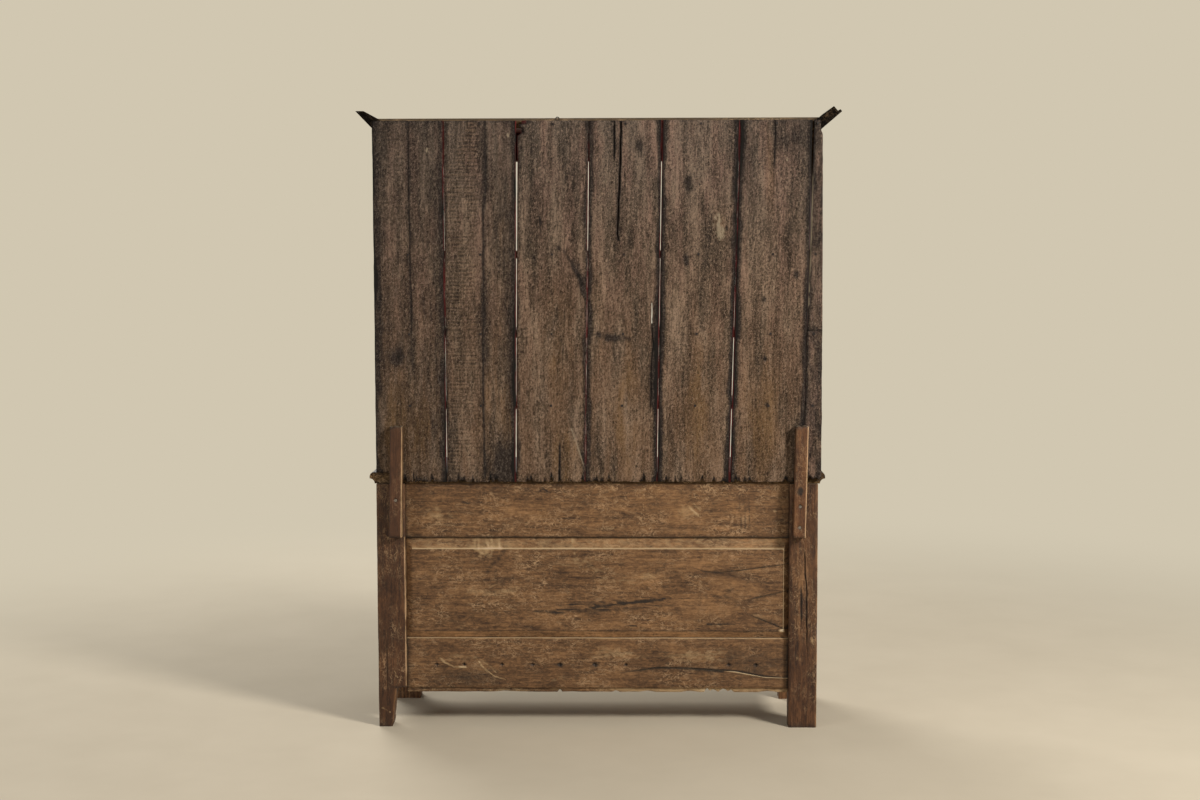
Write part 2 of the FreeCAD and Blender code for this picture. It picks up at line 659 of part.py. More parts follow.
def drawers():
    """Two drawers side by side, each a front, two sides, a back and a bottom slid into grooves."""
    low_x = "(divider_width / 2 + drawer_gap)"
    high_x = f"({INNER} - drawer_gap)"
    low_z = f"({DRAWER_LOW} + drawer_play)"
    high_z = f"({TOP_RAIL_LOW} - drawer_gap)"
    front_in = f"({FRONT} + drawer_front_thickness)"
    end = f"({FRONT} + drawer_length)"
    inner_x = (f"{low_x} + drawer_side_thickness", f"{high_x} - drawer_side_thickness")
    bottom_x = (f"{inner_x[0]} - drawer_groove", f"{inner_x[1]} + drawer_groove")
    bottom_y = (f"{front_in} - drawer_groove", end)
    bottom_z = (f"{low_z} + drawer_bottom_rise", f"{low_z} + drawer_bottom_rise + drawer_bottom_thickness")
    side_y = (f"{front_in} - drawer_housing", end)
    for hand in ("left", "right"):
        name = f"{hand}_drawer"
        sign = "" if hand == "right" else "-"
        bottom = block(f"{name}_bottom", handed(hand, *bottom_x), bottom_y, bottom_z)
        sides = []
        for place, x in (("inner", (low_x, inner_x[0])), ("outer", (inner_x[1], high_x))):
            blank = block(f"{name}_{place}_side_blank", handed(hand, *x), side_y, (low_z, high_z))
            sides.append(cut(f"{name}_{place}_side", blank, bottom))
        back = block(f"{name}_back", handed(hand, *inner_x), (f"{end} - drawer_back_thickness", end),
                     (bottom_z[1], f"{high_z} - drawer_back_drop"))
        node(f"{name}_box", group(f"{name}_box", sides + [back, bottom]))
        middle = f"(({low_x} + {high_x}) / 2)"
        height = f"(({low_z} + {high_z}) / 2)"
        outline = knob_outline("knob_neck_radius", "knob_spigot")
        knobs = []
        for place, shift in (("first", "- knob_spacing / 2"), ("second", "+ knob_spacing / 2")):
            knobs.append(turned(f"{name}_{place}_knob", outline, f"{sign}({middle} {shift})", height))
        front_x = handed(hand, low_x, high_x)
        blank = block(f"{name}_front_blank", front_x, (FRONT, front_in), (low_z, high_z))
        node(f"{name}_front", cut(f"{name}_front", blank, *sides, bottom, *knobs))
        node(f"{name}_knobs", group(f"{name}_knobs", knobs))


def posts():
    """Four corner posts, mortised for the rails, grooved for the panels and let in for the hinges."""
    spans = {"back": (POST_BEHIND, BACK), "front": (FRONT, POST_BEFORE)}
    joined = {
        "back": ["back_top_rail", "back_bottom_rail", "back_panel"],
        "front": ["front_top_rail", "front_middle_rail", "front_apron", "post_hinges"],
    }
    sole = (INNER, f"{SIDE} - worn_foot_sole")
    head = (INNER, f"{SIDE} - worn_foot_head")
    worn = leaning("worn_foot_waste", sole, head, spans["back"], ("0", "worn_foot_height"))
    for place, y in spans.items():
        for hand in ("left", "right"):
            name = f"{place}_post_{hand}"
            tools = [parts[key] for key in joined[place] + [f"side_rails_{hand}", f"side_panel_{hand}"]]
            if name == "back_post_right":
                tools.append(worn)
            if place == "back":
                tools += screws(hand, "post_hole")
            blank = block(f"{name}_blank", handed(hand, INNER, SIDE), y, ("0", POST_TOP))
            node(name, cut(name, blank, *tools))


def screws(hand, use):
    """Countersunk screws through a batten into the post behind it, or their holes with some play."""
    play = "0" if use == "screw" else "screw_play"
    rises = {"left": ("screw_rise_low", "screw_rise_middle"), "right": ("screw_rise_high",)}
    centre = f"({SIDE} - batten_inset_{hand})"
    sign = "" if hand == "right" else "-"
    items = []
    for number, rise in enumerate(rises[hand], start=1):
        tag = f"{use}_{hand}_{number}"
        lean = f"(batten_height + batten_length / 2 - {rise}) * tan(batten_tilt)"
        x = f"{sign}{centre} + {lean}"
        z = f"{PANEL_HIGH} + {rise}"
        face = f"{BACK} + batten_thickness - screw_sink"
        tip = (x, f"{face} - screw_length", z)
        shank = rod(f"{tag}_shank", "y", f"screw_radius + {play}", tip, "screw_length")
        head = doc.addObject("Part::Cone", f"{tag}_head")
        head.Placement = FreeCAD.Placement(FreeCAD.Vector(), FreeCAD.Rotation(AXIS_X, -90))
        bind(head, {"Radius1": f"screw_radius + {play}", "Radius2": f"screw_head_radius + {play}"})
        bind(head, {"Height": "screw_head_height", "Placement.Base.x": x, "Placement.Base.z": z})
        bind(head, {"Placement.Base.y": f"{face} - screw_head_height"})
        shapes = [shank, head]
        if use != "screw":
            sink_radius = f"screw_head_radius + {play}"
            shapes.append(rod(f"{tag}_sink", "y", sink_radius, (x, face, z), "screw_sink"))
        items.append(fuse(tag, *shapes))
    return items


def battens():
    """Two upright battens, slightly out of plumb, screwed to the back posts and lying on the boards."""
    for hand in ("left", "right"):
        sign = "" if hand == "right" else "-"
        blank = doc.addObject("Part::Box", f"batten_{hand}_blank")
        blank.Placement = FreeCAD.Placement(FreeCAD.Vector(), FreeCAD.Rotation(AXIS_Y * -1, 1))
        bind(blank, {"Length": "batten_width", "Width": "batten_thickness", "Height": "batten_length"})
        middle = f"{sign}({SIDE} - batten_inset_{hand})"
        lean_x = "batten_length / 2 * sin(batten_tilt) - batten_width / 2 * cos(batten_tilt)"
        lean_z = "batten_length / 2 * (1 - cos(batten_tilt)) - batten_width / 2 * sin(batten_tilt)"
        bind(blank, {"Placement.Rotation.Angle": "batten_tilt", "Placement.Base.y": BACK})
        bind(blank, {"Placement.Base.x": f"{middle} + {lean_x}"})
        bind(blank, {"Placement.Base.z": f"{PANEL_HIGH} + batten_height + {lean_z}"})
        node(f"batten_{hand}", cut(f"batten_{hand}", blank, *screws(hand, "batten_hole")))
    node("batten_screws", group("batten_screws", screws("left", "screw") + screws("right", "screw")))


def shelf_tops():
    """Heights of the three rack shelves' upper faces, from the lowest up."""
    tops = []
    level = "table_height"
    for clearance in ("lower_clearance", "middle_clearance", "upper_clearance"):
        level = f"({level} + {clearance} + rack_shelf_thickness)"
        tops.append(level)
    return tops


def board_edge(number, z):
    """Where the joint on the left of a board lies at a height: the strip's joint is number 6."""
    names = [f"board_{board}" for board in range(6, number, -1)] + ["strip"]
    head = " + ".join(f"{name}_head" for name in names)
    foot = " + ".join(f"{name}_foot" for name in names)
    share = f"(({z}) - {BOARD_FOOT}) / ({RACK_TOP} - {BOARD_FOOT})"
    return f"(-{SIDE} + {foot} + ({head} - ({foot})) * {share})"


def board_sides(number, z):
    """Right and left edges of a board at a height, with half a gap taken off at each joint."""
    right = SIDE if number == 1 else f"({board_edge(number - 1, z)} - board_gap / 2)"
    return f"({board_edge(number, z)} + board_gap / 2)", right


def strip_sides(z, overhang):
    """Edges of the narrow strip that closes the left end of the boards."""
    return f"(-{SIDE} - {overhang})", f"({board_edge(6, z)} - board_gap / 2)"


def nails():
    """Cut nails in four rows: one for each board at each shelf and at the rack's top."""
    rows = [f"({top} - rack_shelf_thickness / 2)" for top in shelf_tops()]
    rows.append(f"({RACK_TOP} - rack_top_thickness / 2)")
    shank_y = (f"{BACK} - nail_length", BACK)
    head_y = (BACK, f"{BACK} + nail_head_thickness")
    items = []
    for row, z in enumerate(rows, start=1):
        spans = [board_sides(number, z) for number in range(1, 7)] + [strip_sides(z, "0")]
        for column, (left, right) in enumerate(spans, start=1):
            x = f"(({left} + {right}) / 2)"
            shapes = []
            for size, y in (("nail_shank", shank_y), ("nail_head", head_y)):
                across = (f"{x} - {size} / 2", f"{x} + {size} / 2")
                height = (f"{z} - {size} / 2", f"{z} + {size} / 2")
                shapes.append(block(f"{size}_{row}_{column}", across, y, height))
            items.append(fuse(f"nail_{row}_{column}", *shapes))
    return node("board_nails", group("board_nails", items))


def rack():
    """The open rack: sides, three grooved shelves, a top board and a plain frieze."""
    nailed = nails()
    y = (f"{RACK_FRONT} + shelf_setback", BOARD_IN)
    x = (f"-{RACK_INNER} - shelf_housing", f"{RACK_INNER} + shelf_housing")
    groove_x = (f"-{RACK_INNER}", RACK_INNER)
    groove_back = f"({BOARD_IN} - plate_groove_inset)"
    groove_y = (f"{groove_back} - plate_groove_width", groove_back)
    housed = []
    for name, top in zip(("low", "middle", "high"), shelf_tops()):
        blank = block(f"rack_shelf_{name}_blank", x, y, (f"{top} - rack_shelf_thickness", top))
        groove = block(f"plate_groove_{name}", groove_x, groove_y, (f"{top} - plate_groove_depth", top))
        housed.append(node(f"rack_shelf_{name}", cut(f"rack_shelf_{name}", blank, groove, nailed)))
    top_z = (f"{RACK_TOP} - rack_top_thickness", RACK_TOP)
    top_board = block("rack_top_blank", x, (RACK_FRONT, BOARD_IN), top_z)
    eye_y = f"{BOARD_IN} - eye_inset"
    eye_foot = ("eye_offset", eye_y, f"{RACK_TOP} - eye_shank")
    eye_hole = rod("eye_hole", "z", "eye_wire", eye_foot, "eye_shank")
    housed.append(node("rack_top_board", cut("rack_top_board", top_board, nailed, eye_hole)))
    for hand in ("left", "right"):
        name = f"rack_side_{hand}"
        side_x = handed(hand, RACK_INNER, SIDE)
        blank = block(f"{name}_blank", side_x, (RACK_FRONT, BOARD_IN), ("table_height", RACK_TOP))
        node(name, cut(name, blank, *housed, nailed))
    frieze_z = (FRIEZE_LOW, RACK_TOP)
    node("frieze", block("frieze", (f"-{SIDE}", SIDE), (RACK_FACE, RACK_FRONT), frieze_z))
    ring = doc.addObject("Part::Torus", "eye_ring")
    ring.Placement = FreeCAD.Placement(FreeCAD.Vector(), FreeCAD.Rotation(AXIS_X, 90))
    bind(ring, {"Radius1": "eye_radius", "Radius2": "eye_wire", "Placement.Base.x": "eye_offset"})
    bind(ring, {"Placement.Base.y": eye_y, "Placement.Base.z": f"{RACK_TOP} + eye_radius + eye_wire"})
    shank = rod("eye_shank_rod", "z", "eye_wire", eye_foot, "eye_shank + eye_wire")
    node("wall_eye", fuse("wall_eye", ring, shank))


def mitre(name, hand, inward):
    """A block whose face lies on the mitre of a front corner: beyond it, or with inward 1, within it."""
    sign = "1" if hand == "right" else "-1"
    turn = 45 if hand == "right" else 135
    reach = "(4 * (crown_projection + bead_width))"
    along = f"(-{inward} * {reach})"
    item = doc.addObject("Part::Box", f"{name}_mitre_{hand}")
    item.Placement = FreeCAD.Placement(FreeCAD.Vector(), FreeCAD.Rotation(AXIS_Z, turn))
    bind(item, {"Length": reach, "Width": reach, "Height": "frieze_height + end_crown_width"})
    bind(item, {"Placement.Base.x": f"{sign} * ({SIDE} + {along} / sqrt(2)) + {reach} / 2 / sqrt(2)"})
    bind(item, {"Placement.Base.y": f"{RACK_FACE} + ({along} - {sign} * {reach} / 2) / sqrt(2)"})
    return bind(item, {"Placement.Base.z": FRIEZE_LOW})


def sprung(name, across, through, y):
    """A board of the left end, tilted out: spans up its face and into its thickness from its lower edge."""
    item = doc.addObject("Part::Box", name)
    item.Placement = FreeCAD.Placement(FreeCAD.Vector(), FreeCAD.Rotation(AXIS_Y, 1))
    bind(item, {"Placement.Rotation.Angle": "end_crown_spring"})
    bind(item, {"Length": f"({across[1]}) - ({across[0]})", "Height": f"({through[1]}) - ({through[0]})"})
    bind(item, {"Width": f"({y[1]}) - ({y[0]})", "Placement.Base.y": y[0]})
    rise = f"({across[1]}) * sin(end_crown_spring) + ({through[0]}) * cos(end_crown_spring)"
    reach = f"({across[1]}) * cos(end_crown_spring) - ({through[0]}) * sin(end_crown_spring)"
    bind(item, {"Placement.Base.x": f"-{SIDE} - ({reach})"})
    return bind(item, {"Placement.Base.z": f"{RACK_TOP} - end_crown_drop + {rise}"})


def cornice():
    """Sprung cornice boards, mitred at the corners: a square-edged one with a lip on the left end."""
    low = f"({RACK_TOP} - crown_drop)"
    high = f"({low} + crown_rise)"
    bead_back = "(crown_projection - bead_height * crown_projection / crown_rise)"
    overrun = "(crown_projection + bead_width)"
    crown_foot = ("-crown_thickness", "0")
    crown_head = ("crown_projection - crown_thickness", "crown_projection")
    bead_foot = (bead_back, f"{bead_back} + bead_width")
    bead_head = ("crown_projection", overrun)
    rack_block = block("rack_block", (f"-{SIDE}", SIDE), (RACK_FACE, BACK), (FRIEZE_LOW, RACK_TOP))
    forward = FreeCAD.Rotation(AXIS_Y * -1, AXIS_Z, AXIS_X * -1, "XYZ")
    run_x = (f"-{SIDE} - {overrun}", f"{SIDE} + {overrun}")
    run_y = (f"{RACK_FACE} - {overrun}", BACK)

    front = wedge("crown_front_run", forward, (crown_foot, run_x), (crown_head, run_x), (low, high))
    bind(front, {"Placement.Base.y": RACK_FACE})
    corners = [mitre("crown_front", hand, "0") for hand in ("left", "right")]
    node("cornice_front", cut("cornice_front", front, *corners, rack_block))

    foot = [f"{SIDE} + {place}" for place in crown_foot]
    head = [f"{SIDE} + {place}" for place in crown_head]
    right = leaning("crown_right_run", foot, head, run_y, (low, high))
    node("cornice_right", cut("cornice_right", right, mitre("crown_right", "right", "1"), rack_block))

    left = sprung("crown_left_run", ("0", "end_crown_width"), ("0", "end_crown_thickness"), run_y)
    node("cornice_left", cut("cornice_left", left, mitre("crown_left", "left", "1"), rack_block))

    bead_z = (f"{high} - bead_height", high)
    bead = wedge("bead_front_run", forward, (bead_foot, run_x), (bead_head, run_x), bead_z)
    bind(bead, {"Placement.Base.y": RACK_FACE})
    corners = [mitre("bead_front", hand, "0") for hand in ("left", "right")]
    lip_across = ("end_crown_width", "end_crown_width + lip_width")
    lip = sprung("lip_left_run", lip_across, ("0", "lip_thickness"), run_y)
    beads = [cut("bead_front", bead, *corners), cut("lip_left", lip, mitre("lip_left", "left", "1"))]
    node("cornice_bead", group("cornice_bead", beads))


def boards():
    """Six tapering back boards and a narrow strip in two lengths, nailed over the rack's back."""
    nailed = parts["board_nails"]
    y = (BOARD_IN, BACK)
    z = (BOARD_FOOT, RACK_TOP)
    notch = block("board_notch", (f"{SIDE} - board_notch_width", SIDE), y,
                  (BOARD_FOOT, f"{BOARD_FOOT} + board_notch_height"))
    for number in range(1, 7):
        name = f"back_board_{number}"
        blank = leaning(f"{name}_blank", board_sides(number, z[0]), board_sides(number, z[1]), y, z)
        tools = [notch, nailed] if number == 1 else [nailed]
        node(name, cut(name, blank, *tools))
    split = "(table_height + strip_split)"
    lengths = []
    spans = {
        "lower": ("strip_overhang", z[0], f"({split} - strip_joint / 2)"),
        "upper": ("0", f"({split} + strip_joint / 2)", z[1]),
    }
    for name, (overhang, low, high) in spans.items():
        foot = strip_sides(low, overhang)
        head = strip_sides(high, overhang)
        blank = leaning(f"strip_{name}_blank", foot, head, y, (low, high))
        lengths.append(cut(f"strip_{name}", blank, nailed))
    node("back_strip", group("back_strip", lengths))


def check_and_write():
    """Stop on any failed object or faulty solid, then write each piece to its own file."""
    doc.recompute()
    for item in doc.Objects:
        if "Invalid" in item.State or "Error" in item.State:
            raise RuntimeError(f"{item.Name} failed: {item.State}")
    for name, item in parts.items():
        if item.Shape.isNull() or not item.Shape.isValid() or not item.Shape.Solids:
            raise RuntimeError(f"{name} has no sound solid")
    os.makedirs("parts", exist_ok=True)
    for name, item in parts.items():
        item.Shape.exportStep(f"parts/{name}.step")
    print(len(parts), "pieces,", sum(len(item.Shape.Solids) for item in parts.values()), "solids")


buffet_sides()
buffet_back()
buffet_front()
buffet_inside()
buffet_top()
doors()
drawers()
posts()
battens()
rack()
boards()
cornice()
check_and_write()
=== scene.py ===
"""Looks of an old two-part dresser: rough back boards, joined frame, battens, painted rack and ironwork.

Lengths are in millimetres until they become vertices. x runs to the right as seen from the front,
y to the back and z up.
"""

import json
import math
from collections import namedtuple

import bmesh
import bpy
import numpy as np
from mathutils import Matrix, Vector

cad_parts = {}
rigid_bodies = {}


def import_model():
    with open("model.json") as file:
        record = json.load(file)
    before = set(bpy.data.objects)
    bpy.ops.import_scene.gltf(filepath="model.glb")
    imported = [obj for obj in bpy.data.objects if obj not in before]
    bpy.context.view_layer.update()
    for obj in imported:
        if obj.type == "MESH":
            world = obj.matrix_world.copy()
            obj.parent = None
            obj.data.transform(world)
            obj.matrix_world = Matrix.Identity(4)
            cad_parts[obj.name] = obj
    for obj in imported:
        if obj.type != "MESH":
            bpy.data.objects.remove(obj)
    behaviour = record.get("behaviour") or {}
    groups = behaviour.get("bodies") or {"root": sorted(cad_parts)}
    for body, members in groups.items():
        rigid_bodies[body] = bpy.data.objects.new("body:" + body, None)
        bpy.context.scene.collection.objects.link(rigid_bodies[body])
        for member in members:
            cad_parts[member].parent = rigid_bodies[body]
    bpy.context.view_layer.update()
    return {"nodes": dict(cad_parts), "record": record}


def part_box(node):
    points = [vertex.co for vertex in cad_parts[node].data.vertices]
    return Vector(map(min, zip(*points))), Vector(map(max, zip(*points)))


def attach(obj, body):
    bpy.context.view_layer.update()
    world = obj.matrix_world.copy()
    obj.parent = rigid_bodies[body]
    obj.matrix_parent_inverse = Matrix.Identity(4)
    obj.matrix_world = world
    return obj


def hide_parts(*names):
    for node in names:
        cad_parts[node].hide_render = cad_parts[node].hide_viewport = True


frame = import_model()

MM = 0.001
SLOT_OF = {row["node"]: row["material_slot"] for row in frame["record"]["subparts"]}
BODY_OF = {node: body for body, nodes in frame["record"]["behaviour"]["bodies"].items() for node in nodes}
# Channels of a net's marks: soiling together with painted shade, warmth, and paleness together with painted
# highlights.
DIRT_AND_SHADE, WARM, PALE = range(3)
HILL_TABLE, ROUGH_HEIGHT = 64, 1.6


def tone(red, green, blue):
    """A screen colour from 0 to 255 as the linear colour that shaders use."""
    shares = (value / 255 for value in (red, green, blue))
    return (*(share / 12.92 if share <= 0.04045 else ((share + 0.055) / 1.055) ** 2.4
              for share in shares), 1.0)


def unit(value):
    """The value held between 0 and 1."""
    return np.clip(value, 0, 1)


def falling(away, reach):
    """1 at no distance, falling off over the reach."""
    return np.exp(-away / reach)


def hump(away, reach):
    """1 at no distance, falling off on both sides in a bell."""
    return np.exp(-(away / reach) ** 2)


def span(place, start, end, soft):
    """1 between start and end, easing to 0 over the soft length inside each of them."""
    return unit(np.minimum(place - start, end - place) / soft)


def hills(u, v, seed):
    """Smooth random heights from -1 to 1 over a plane, about one hill to each unit."""
    table = np.random.RandomState(seed).uniform(-1, 1, (HILL_TABLE, HILL_TABLE))
    u, v = np.broadcast_arrays(np.asarray(u, float), np.asarray(v, float))
    iu, iv = np.floor(u).astype(int), np.floor(v).astype(int)
    fu, fv = (part * part * (3 - 2 * part) for part in (u - iu, v - iv))

    def corner(du, dv):
        return table[(iu + du) % HILL_TABLE, (iv + dv) % HILL_TABLE]

    near = corner(0, 0) * (1 - fu) + corner(1, 0) * fu
    far = corner(0, 1) * (1 - fu) + corner(1, 1) * fu
    return near * (1 - fv) + far * fv


def rough(u, v, seed, octaves=3):
    """Hills with smaller hills on them, about -1 to 1."""
    total = 0
    for octave in range(octaves):
        finer = 2 ** octave
        total = total + hills(np.asarray(u) * finer, np.asarray(v) * finer, seed + octave) / finer
    return total / ROUGH_HEIGHT


def spread(low, high, step, keep=()):
    """Places from low to high about a step apart that pass through every kept place."""
    stops = [low, *sorted(place for place in keep if low < place < high), high]
    places = [np.array([low], float)]
    for start, end in zip(stops, stops[1:]):
        count = max(1, round((end - start) / step))
        places.append(np.linspace(start, end, count + 1)[1:])
    return np.concatenate(places)


def limits(node):
    """The node's lowest and highest corners in millimetres."""
    low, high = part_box(node)
    return np.array(low) / MM, np.array(high) / MM


def corners_of(node):
    """The node's points in millimetres."""
    vertices = frame["nodes"][node].data.vertices
    places = np.empty(len(vertices) * 3)
    vertices.foreach_get("co", places)
    return places.reshape(-1, 3) / MM


def sides_of(points, near=0.5):
    """Foot and head of an upright board, and x there of its low and of its high edge."""
    heights = points[:, 2]
    foot, head = heights.min(), heights.max()
    at_foot, at_head = points[heights < foot + near, 0], points[heights > head - near, 0]
    return foot, head, (at_foot.min(), at_head.min()), (at_foot.max(), at_head.max())


def straight(foot, head, ends):
    """A straight long edge as x over z, from its x at the foot and at the head."""
    return lambda z: ends[0] + (ends[1] - ends[0]) * (z - foot) / (head - foot)


def around(holes, axis, steps=(-1, 0, 1)):
    """Places through each hole and at its rims, along x (0) or z (1)."""
    return [hole[axis] + step * hole[2] for hole in holes for step in steps]


def new_object(name, data):
    """An object that is linked to the scene."""
    thing = bpy.data.objects.new(name, data)
    bpy.context.scene.collection.objects.link(thing)
    return thing


# A split along the grain, by x and z of its path. Its ends close over the length soft, its rim is bright
# along lip, and light comes through it along through.
Split = namedtuple("Split", "path half depth stain stain_reach soft wander lip through",
                   defaults=(0.8, 4, 30, 1.0, None, ()))
LEAST_HALF, LIP_SOFT, LIP_PALE, LIP_CLEAN = 0.12, 30, 1.2, 2


class Net:
    """A board as a net of points, with a depth below its seen face at each of them.

    s runs along the grain and t across it. Splits are grooves that the net's columns follow, and cells
    that light comes through are left out. marks holds soiling with painted shade, warmth, paleness with
    painted highlights, and saw lines for the material, and paint how far the rack's paint ran round an edge.
    """

    RIMS = 1.6, 3.6

    def __init__(self, upright, reach, edges, steps, seed, splits=(), rows=(), lines=()):
        self.upright, self.seed = upright, seed
        line = spread(*reach, steps[0], [*rows, reach[0] + self.RIMS[0], reach[1] - self.RIMS[0]])
        low, high = (np.broadcast_to(np.asarray(edge(line), float), line.shape) for edge in edges)
        guides = [(low, None), (high, None)]
        guides += [(place, None) for rim in self.RIMS for place in (low + rim, high - rim)]
        guides += [(np.full_like(line, place), None) for place in lines]
        opened = []
        for number, split in enumerate(splits):
            path = np.array(sorted((z, x) if upright else (x, z) for x, z in split.path), float)
            middle = np.interp(line, path[:, 0], path[:, 1])
            middle = middle + split.wander * rough(line / 45, number, seed + 11)
            opened.append(span(line, path[0, 0], path[-1, 0], split.soft))
            half = LEAST_HALF + split.half * opened[-1] * (1 + 0.55 * hills(line / 8, number, seed + 17))
            guides += [(middle - half, None), (middle, number), (middle + half, None)]
        guides.sort(key=lambda guide: guide[0].mean())
        columns, centres = [guides[0][0]], {}
        for (start, _), (end, number) in zip(guides, guides[1:]):
            count = max(1, round(float(np.mean(end - start)) / steps[1]))
            columns += [start + (end - start) * part / count for part in range(1, count + 1)]
            if number is not None:
                centres[number] = len(columns) - 1
        self.t = np.stack(columns, 1)
        self.s = np.repeat(line[:, None], len(columns), 1)
        self.low_side, self.high_side = self.t - low[:, None], high[:, None] - self.t
        self.edge = np.minimum(self.low_side, self.high_side)
        self.start, self.end = self.s - reach[0], reach[1] - self.s
        self.depth, self.far, self.paint = (np.zeros_like(self.t) for _ in range(3))
        self.marks = np.zeros((*self.t.shape, 4))
        self.dirt, self.warm, self.pale, self.saw = np.moveaxis(self.marks, -1, 0)
        self.solid = np.ones((self.t.shape[0] - 1, self.t.shape[1] - 1), bool)
        for number, split in enumerate(splits):
            column = centres[number]
            self.depth[:, column] += split.depth * np.sqrt(opened[number])
            away = np.abs(self.t - self.t[:, column:column + 1])
            self.dirt += split.stain * (falling(away, split.stain_reach) * opened[number][:, None])
            if split.lip:
                bright = span(line, *split.lip, LIP_SOFT)
                self.pale[:, column - 1] += LIP_PALE * bright
                self.dirt[:, column - 1] -= LIP_CLEAN * bright
            for start, end in split.through:
                clear = (line[:-1] > start) & (line[1:] < end)
                self.solid[clear, column - 1:column + 1] = False

    @property
    def x(self):
        return self.t if self.upright else self.s

    @property
    def z(self):
        return self.s if self.upright else self.t

    def ends(self, start_shift=None, end_shift=None, reach=70):
        """Moves the two end edges along the grain by a shift given for each place across it."""
        for shift, away in ((start_shift, self.start), (end_shift, self.end)):
            if shift is not None:
                self.s = self.s + shift(self.t) * unit(1 - away / reach)

    def wave(self, height, along, across, octaves=3):
        """Rolls the seen face up and down, never above where it was."""
        self.seed += 1
        self.depth += height * (1 + rough(self.s / along, self.t / across, self.seed, octaves)) / 2

    def arris(self, drop, reach, ends=True):
        """Wears the corners off along the edges, unevenly."""
        self.seed += 1
        near = unit(1 - self.edge / reach) ** 2
        if ends:
            near = np.maximum(near, unit(1 - np.minimum(self.start, self.end) / reach) ** 2)
        self.depth += drop * near * (1 + 0.7 * rough(self.s / 30, self.t / 30, self.seed))
        self.far += 0.5 * drop * near

    def pit(self, x, z, radius, depth):
        """A small round hole, dark inside."""
        away = np.hypot(self.x - x, self.z - z) / radius
        self.depth += depth * unit(1.15 - away) ** 0.5 * (away < 1.15)
        self.dirt += 1.2 * unit(1.5 - away)

    def blot(self, channel, x, z, wide, high, amount, ragged=0.5):
        """A soft mark of one kind with ragged edges."""
        self.seed += 1
        shape = np.exp(-((self.x - x) / wide) ** 2 - ((self.z - z) / high) ** 2)
        uneven = 1 + ragged * rough(self.x / wide * 3, self.z / high * 3, self.seed)
        self.marks[..., channel] += amount * shape * uneven

    def stroke(self, channel, path, width, amount, ragged=0.5):
        """A mark along a line of points, fading across its width."""
        self.seed += 1
        best = np.full_like(self.t, 1e6)
        for (xa, za), (xb, zb) in zip(path, path[1:]):
            dx, dz = xb - xa, zb - za
            along = unit(((self.x - xa) * dx + (self.z - za) * dz) / max(math.hypot(dx, dz), 1e-6) ** 2)
            best = np.minimum(best, np.hypot(self.x - xa - along * dx, self.z - za - along * dz))
        uneven = 1 + ragged * rough(self.x / 14, self.z / 14, self.seed)
        self.marks[..., channel] += amount * hump(best, width) * uneven

    def draw(self, marks):
        """Blots, which have a middle, and strokes, which have a path."""
        for channel, place, *rest in marks:
            mark = self.stroke if isinstance(place, list) else self.blot
            mark(channel, place, *rest)

    def geometry(self, face, far):
        """Vertices, faces, marks and paint of the board between the y of its seen and of its far face."""
        rows, columns = self.t.shape
        count = rows * columns
        seen = np.stack([self.x, face - self.depth, self.z], -1).reshape(-1, 3)
        hidden = np.stack([self.x, far + self.far, self.z], -1).reshape(-1, 3)
        index = np.arange(count).reshape(rows, columns)
        corners = np.stack([index[:-1, :-1], index[1:, :-1], index[1:, 1:], index[:-1, 1:]], -1)
        cells = corners[self.solid]
        faces = [cells, cells[:, ::-1] + count]
        beside = np.pad(self.solid, 1)
        sides = (
            (beside[1:-1, :-2], 0, 1), (beside[2:, 1:-1], 1, 2),
            (beside[1:-1, 2:], 2, 3), (beside[:-2, 1:-1], 3, 0),
        )
        for neighbour, a, b in sides:
            bare = corners[self.solid & ~neighbour]
            first, second = bare[:, b], bare[:, a]
            faces.append(np.stack([first, second, second + count, first + count], -1))
        marks, paint = unit(self.marks.reshape(-1, 4)), unit(self.paint.ravel())
        points = np.concatenate([seen, hidden])
        return points, np.concatenate(faces), np.tile(marks, (2, 1)), np.tile(paint, 2)


def finish_mesh(bm, name, sharp):
    """A mesh from bmesh work, smooth apart from its sharp edges."""
    mesh = bpy.data.meshes.new(name)
    bm.to_mesh(mesh)
    bm.free()
    if "custom_normal" in mesh.attributes:
        mesh.attributes.remove(mesh.attributes["custom_normal"])
    mesh.polygons.foreach_set("use_smooth", [True] * len(mesh.polygons))
    mesh.set_sharp_from_angle(angle=math.radians(sharp))
    return mesh


def stand_for(mesh, node, materials):
    """An object of the mesh that takes the place of a CAD node."""
    piece = new_object("aged_" + node, mesh)
    for material in materials:
        mesh.materials.append(material)
    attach(piece, BODY_OF[node])
    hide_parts(node)


BOARD_SHARP = 42


def board_piece(node, material, *nets, insets=((0, 0), (0, 0))):
    """One piece of one or two nets as thick as the node, less each net's insets at its seen and far face."""
    low, high = limits(node)
    shapes, count = [], 0
    for net, (seen_inset, far_inset) in zip(nets, insets):
        points, faces, marks, paint = net.geometry(high[1] - seen_inset, low[1] + far_inset)
        shapes.append((points * MM, faces + count, marks, paint))
        count += len(points)
    points, faces, marks, paint = (np.concatenate(part) for part in zip(*shapes))
    mesh = bpy.data.meshes.new(node)
    mesh.from_pydata(points.tolist(), [], faces.tolist())
    layers = (("marks", "FLOAT_COLOR", "color", marks), ("paint", "FLOAT", "value", paint))
    for name, kind, field, values in layers:
        layer = mesh.attributes.new(name, kind, "POINT")
        layer.data.foreach_set(field, values.astype(np.float32).ravel())
    bm = bmesh.new()
    bm.from_mesh(mesh)
    bpy.data.meshes.remove(mesh)
    bmesh.ops.delete(bm, geom=[v for v in bm.verts if not v.link_faces], context="VERTS")
    bmesh.ops.recalc_face_normals(bm, faces=bm.faces)
    stand_for(finish_mesh(bm, node, BOARD_SHARP), node, [material])


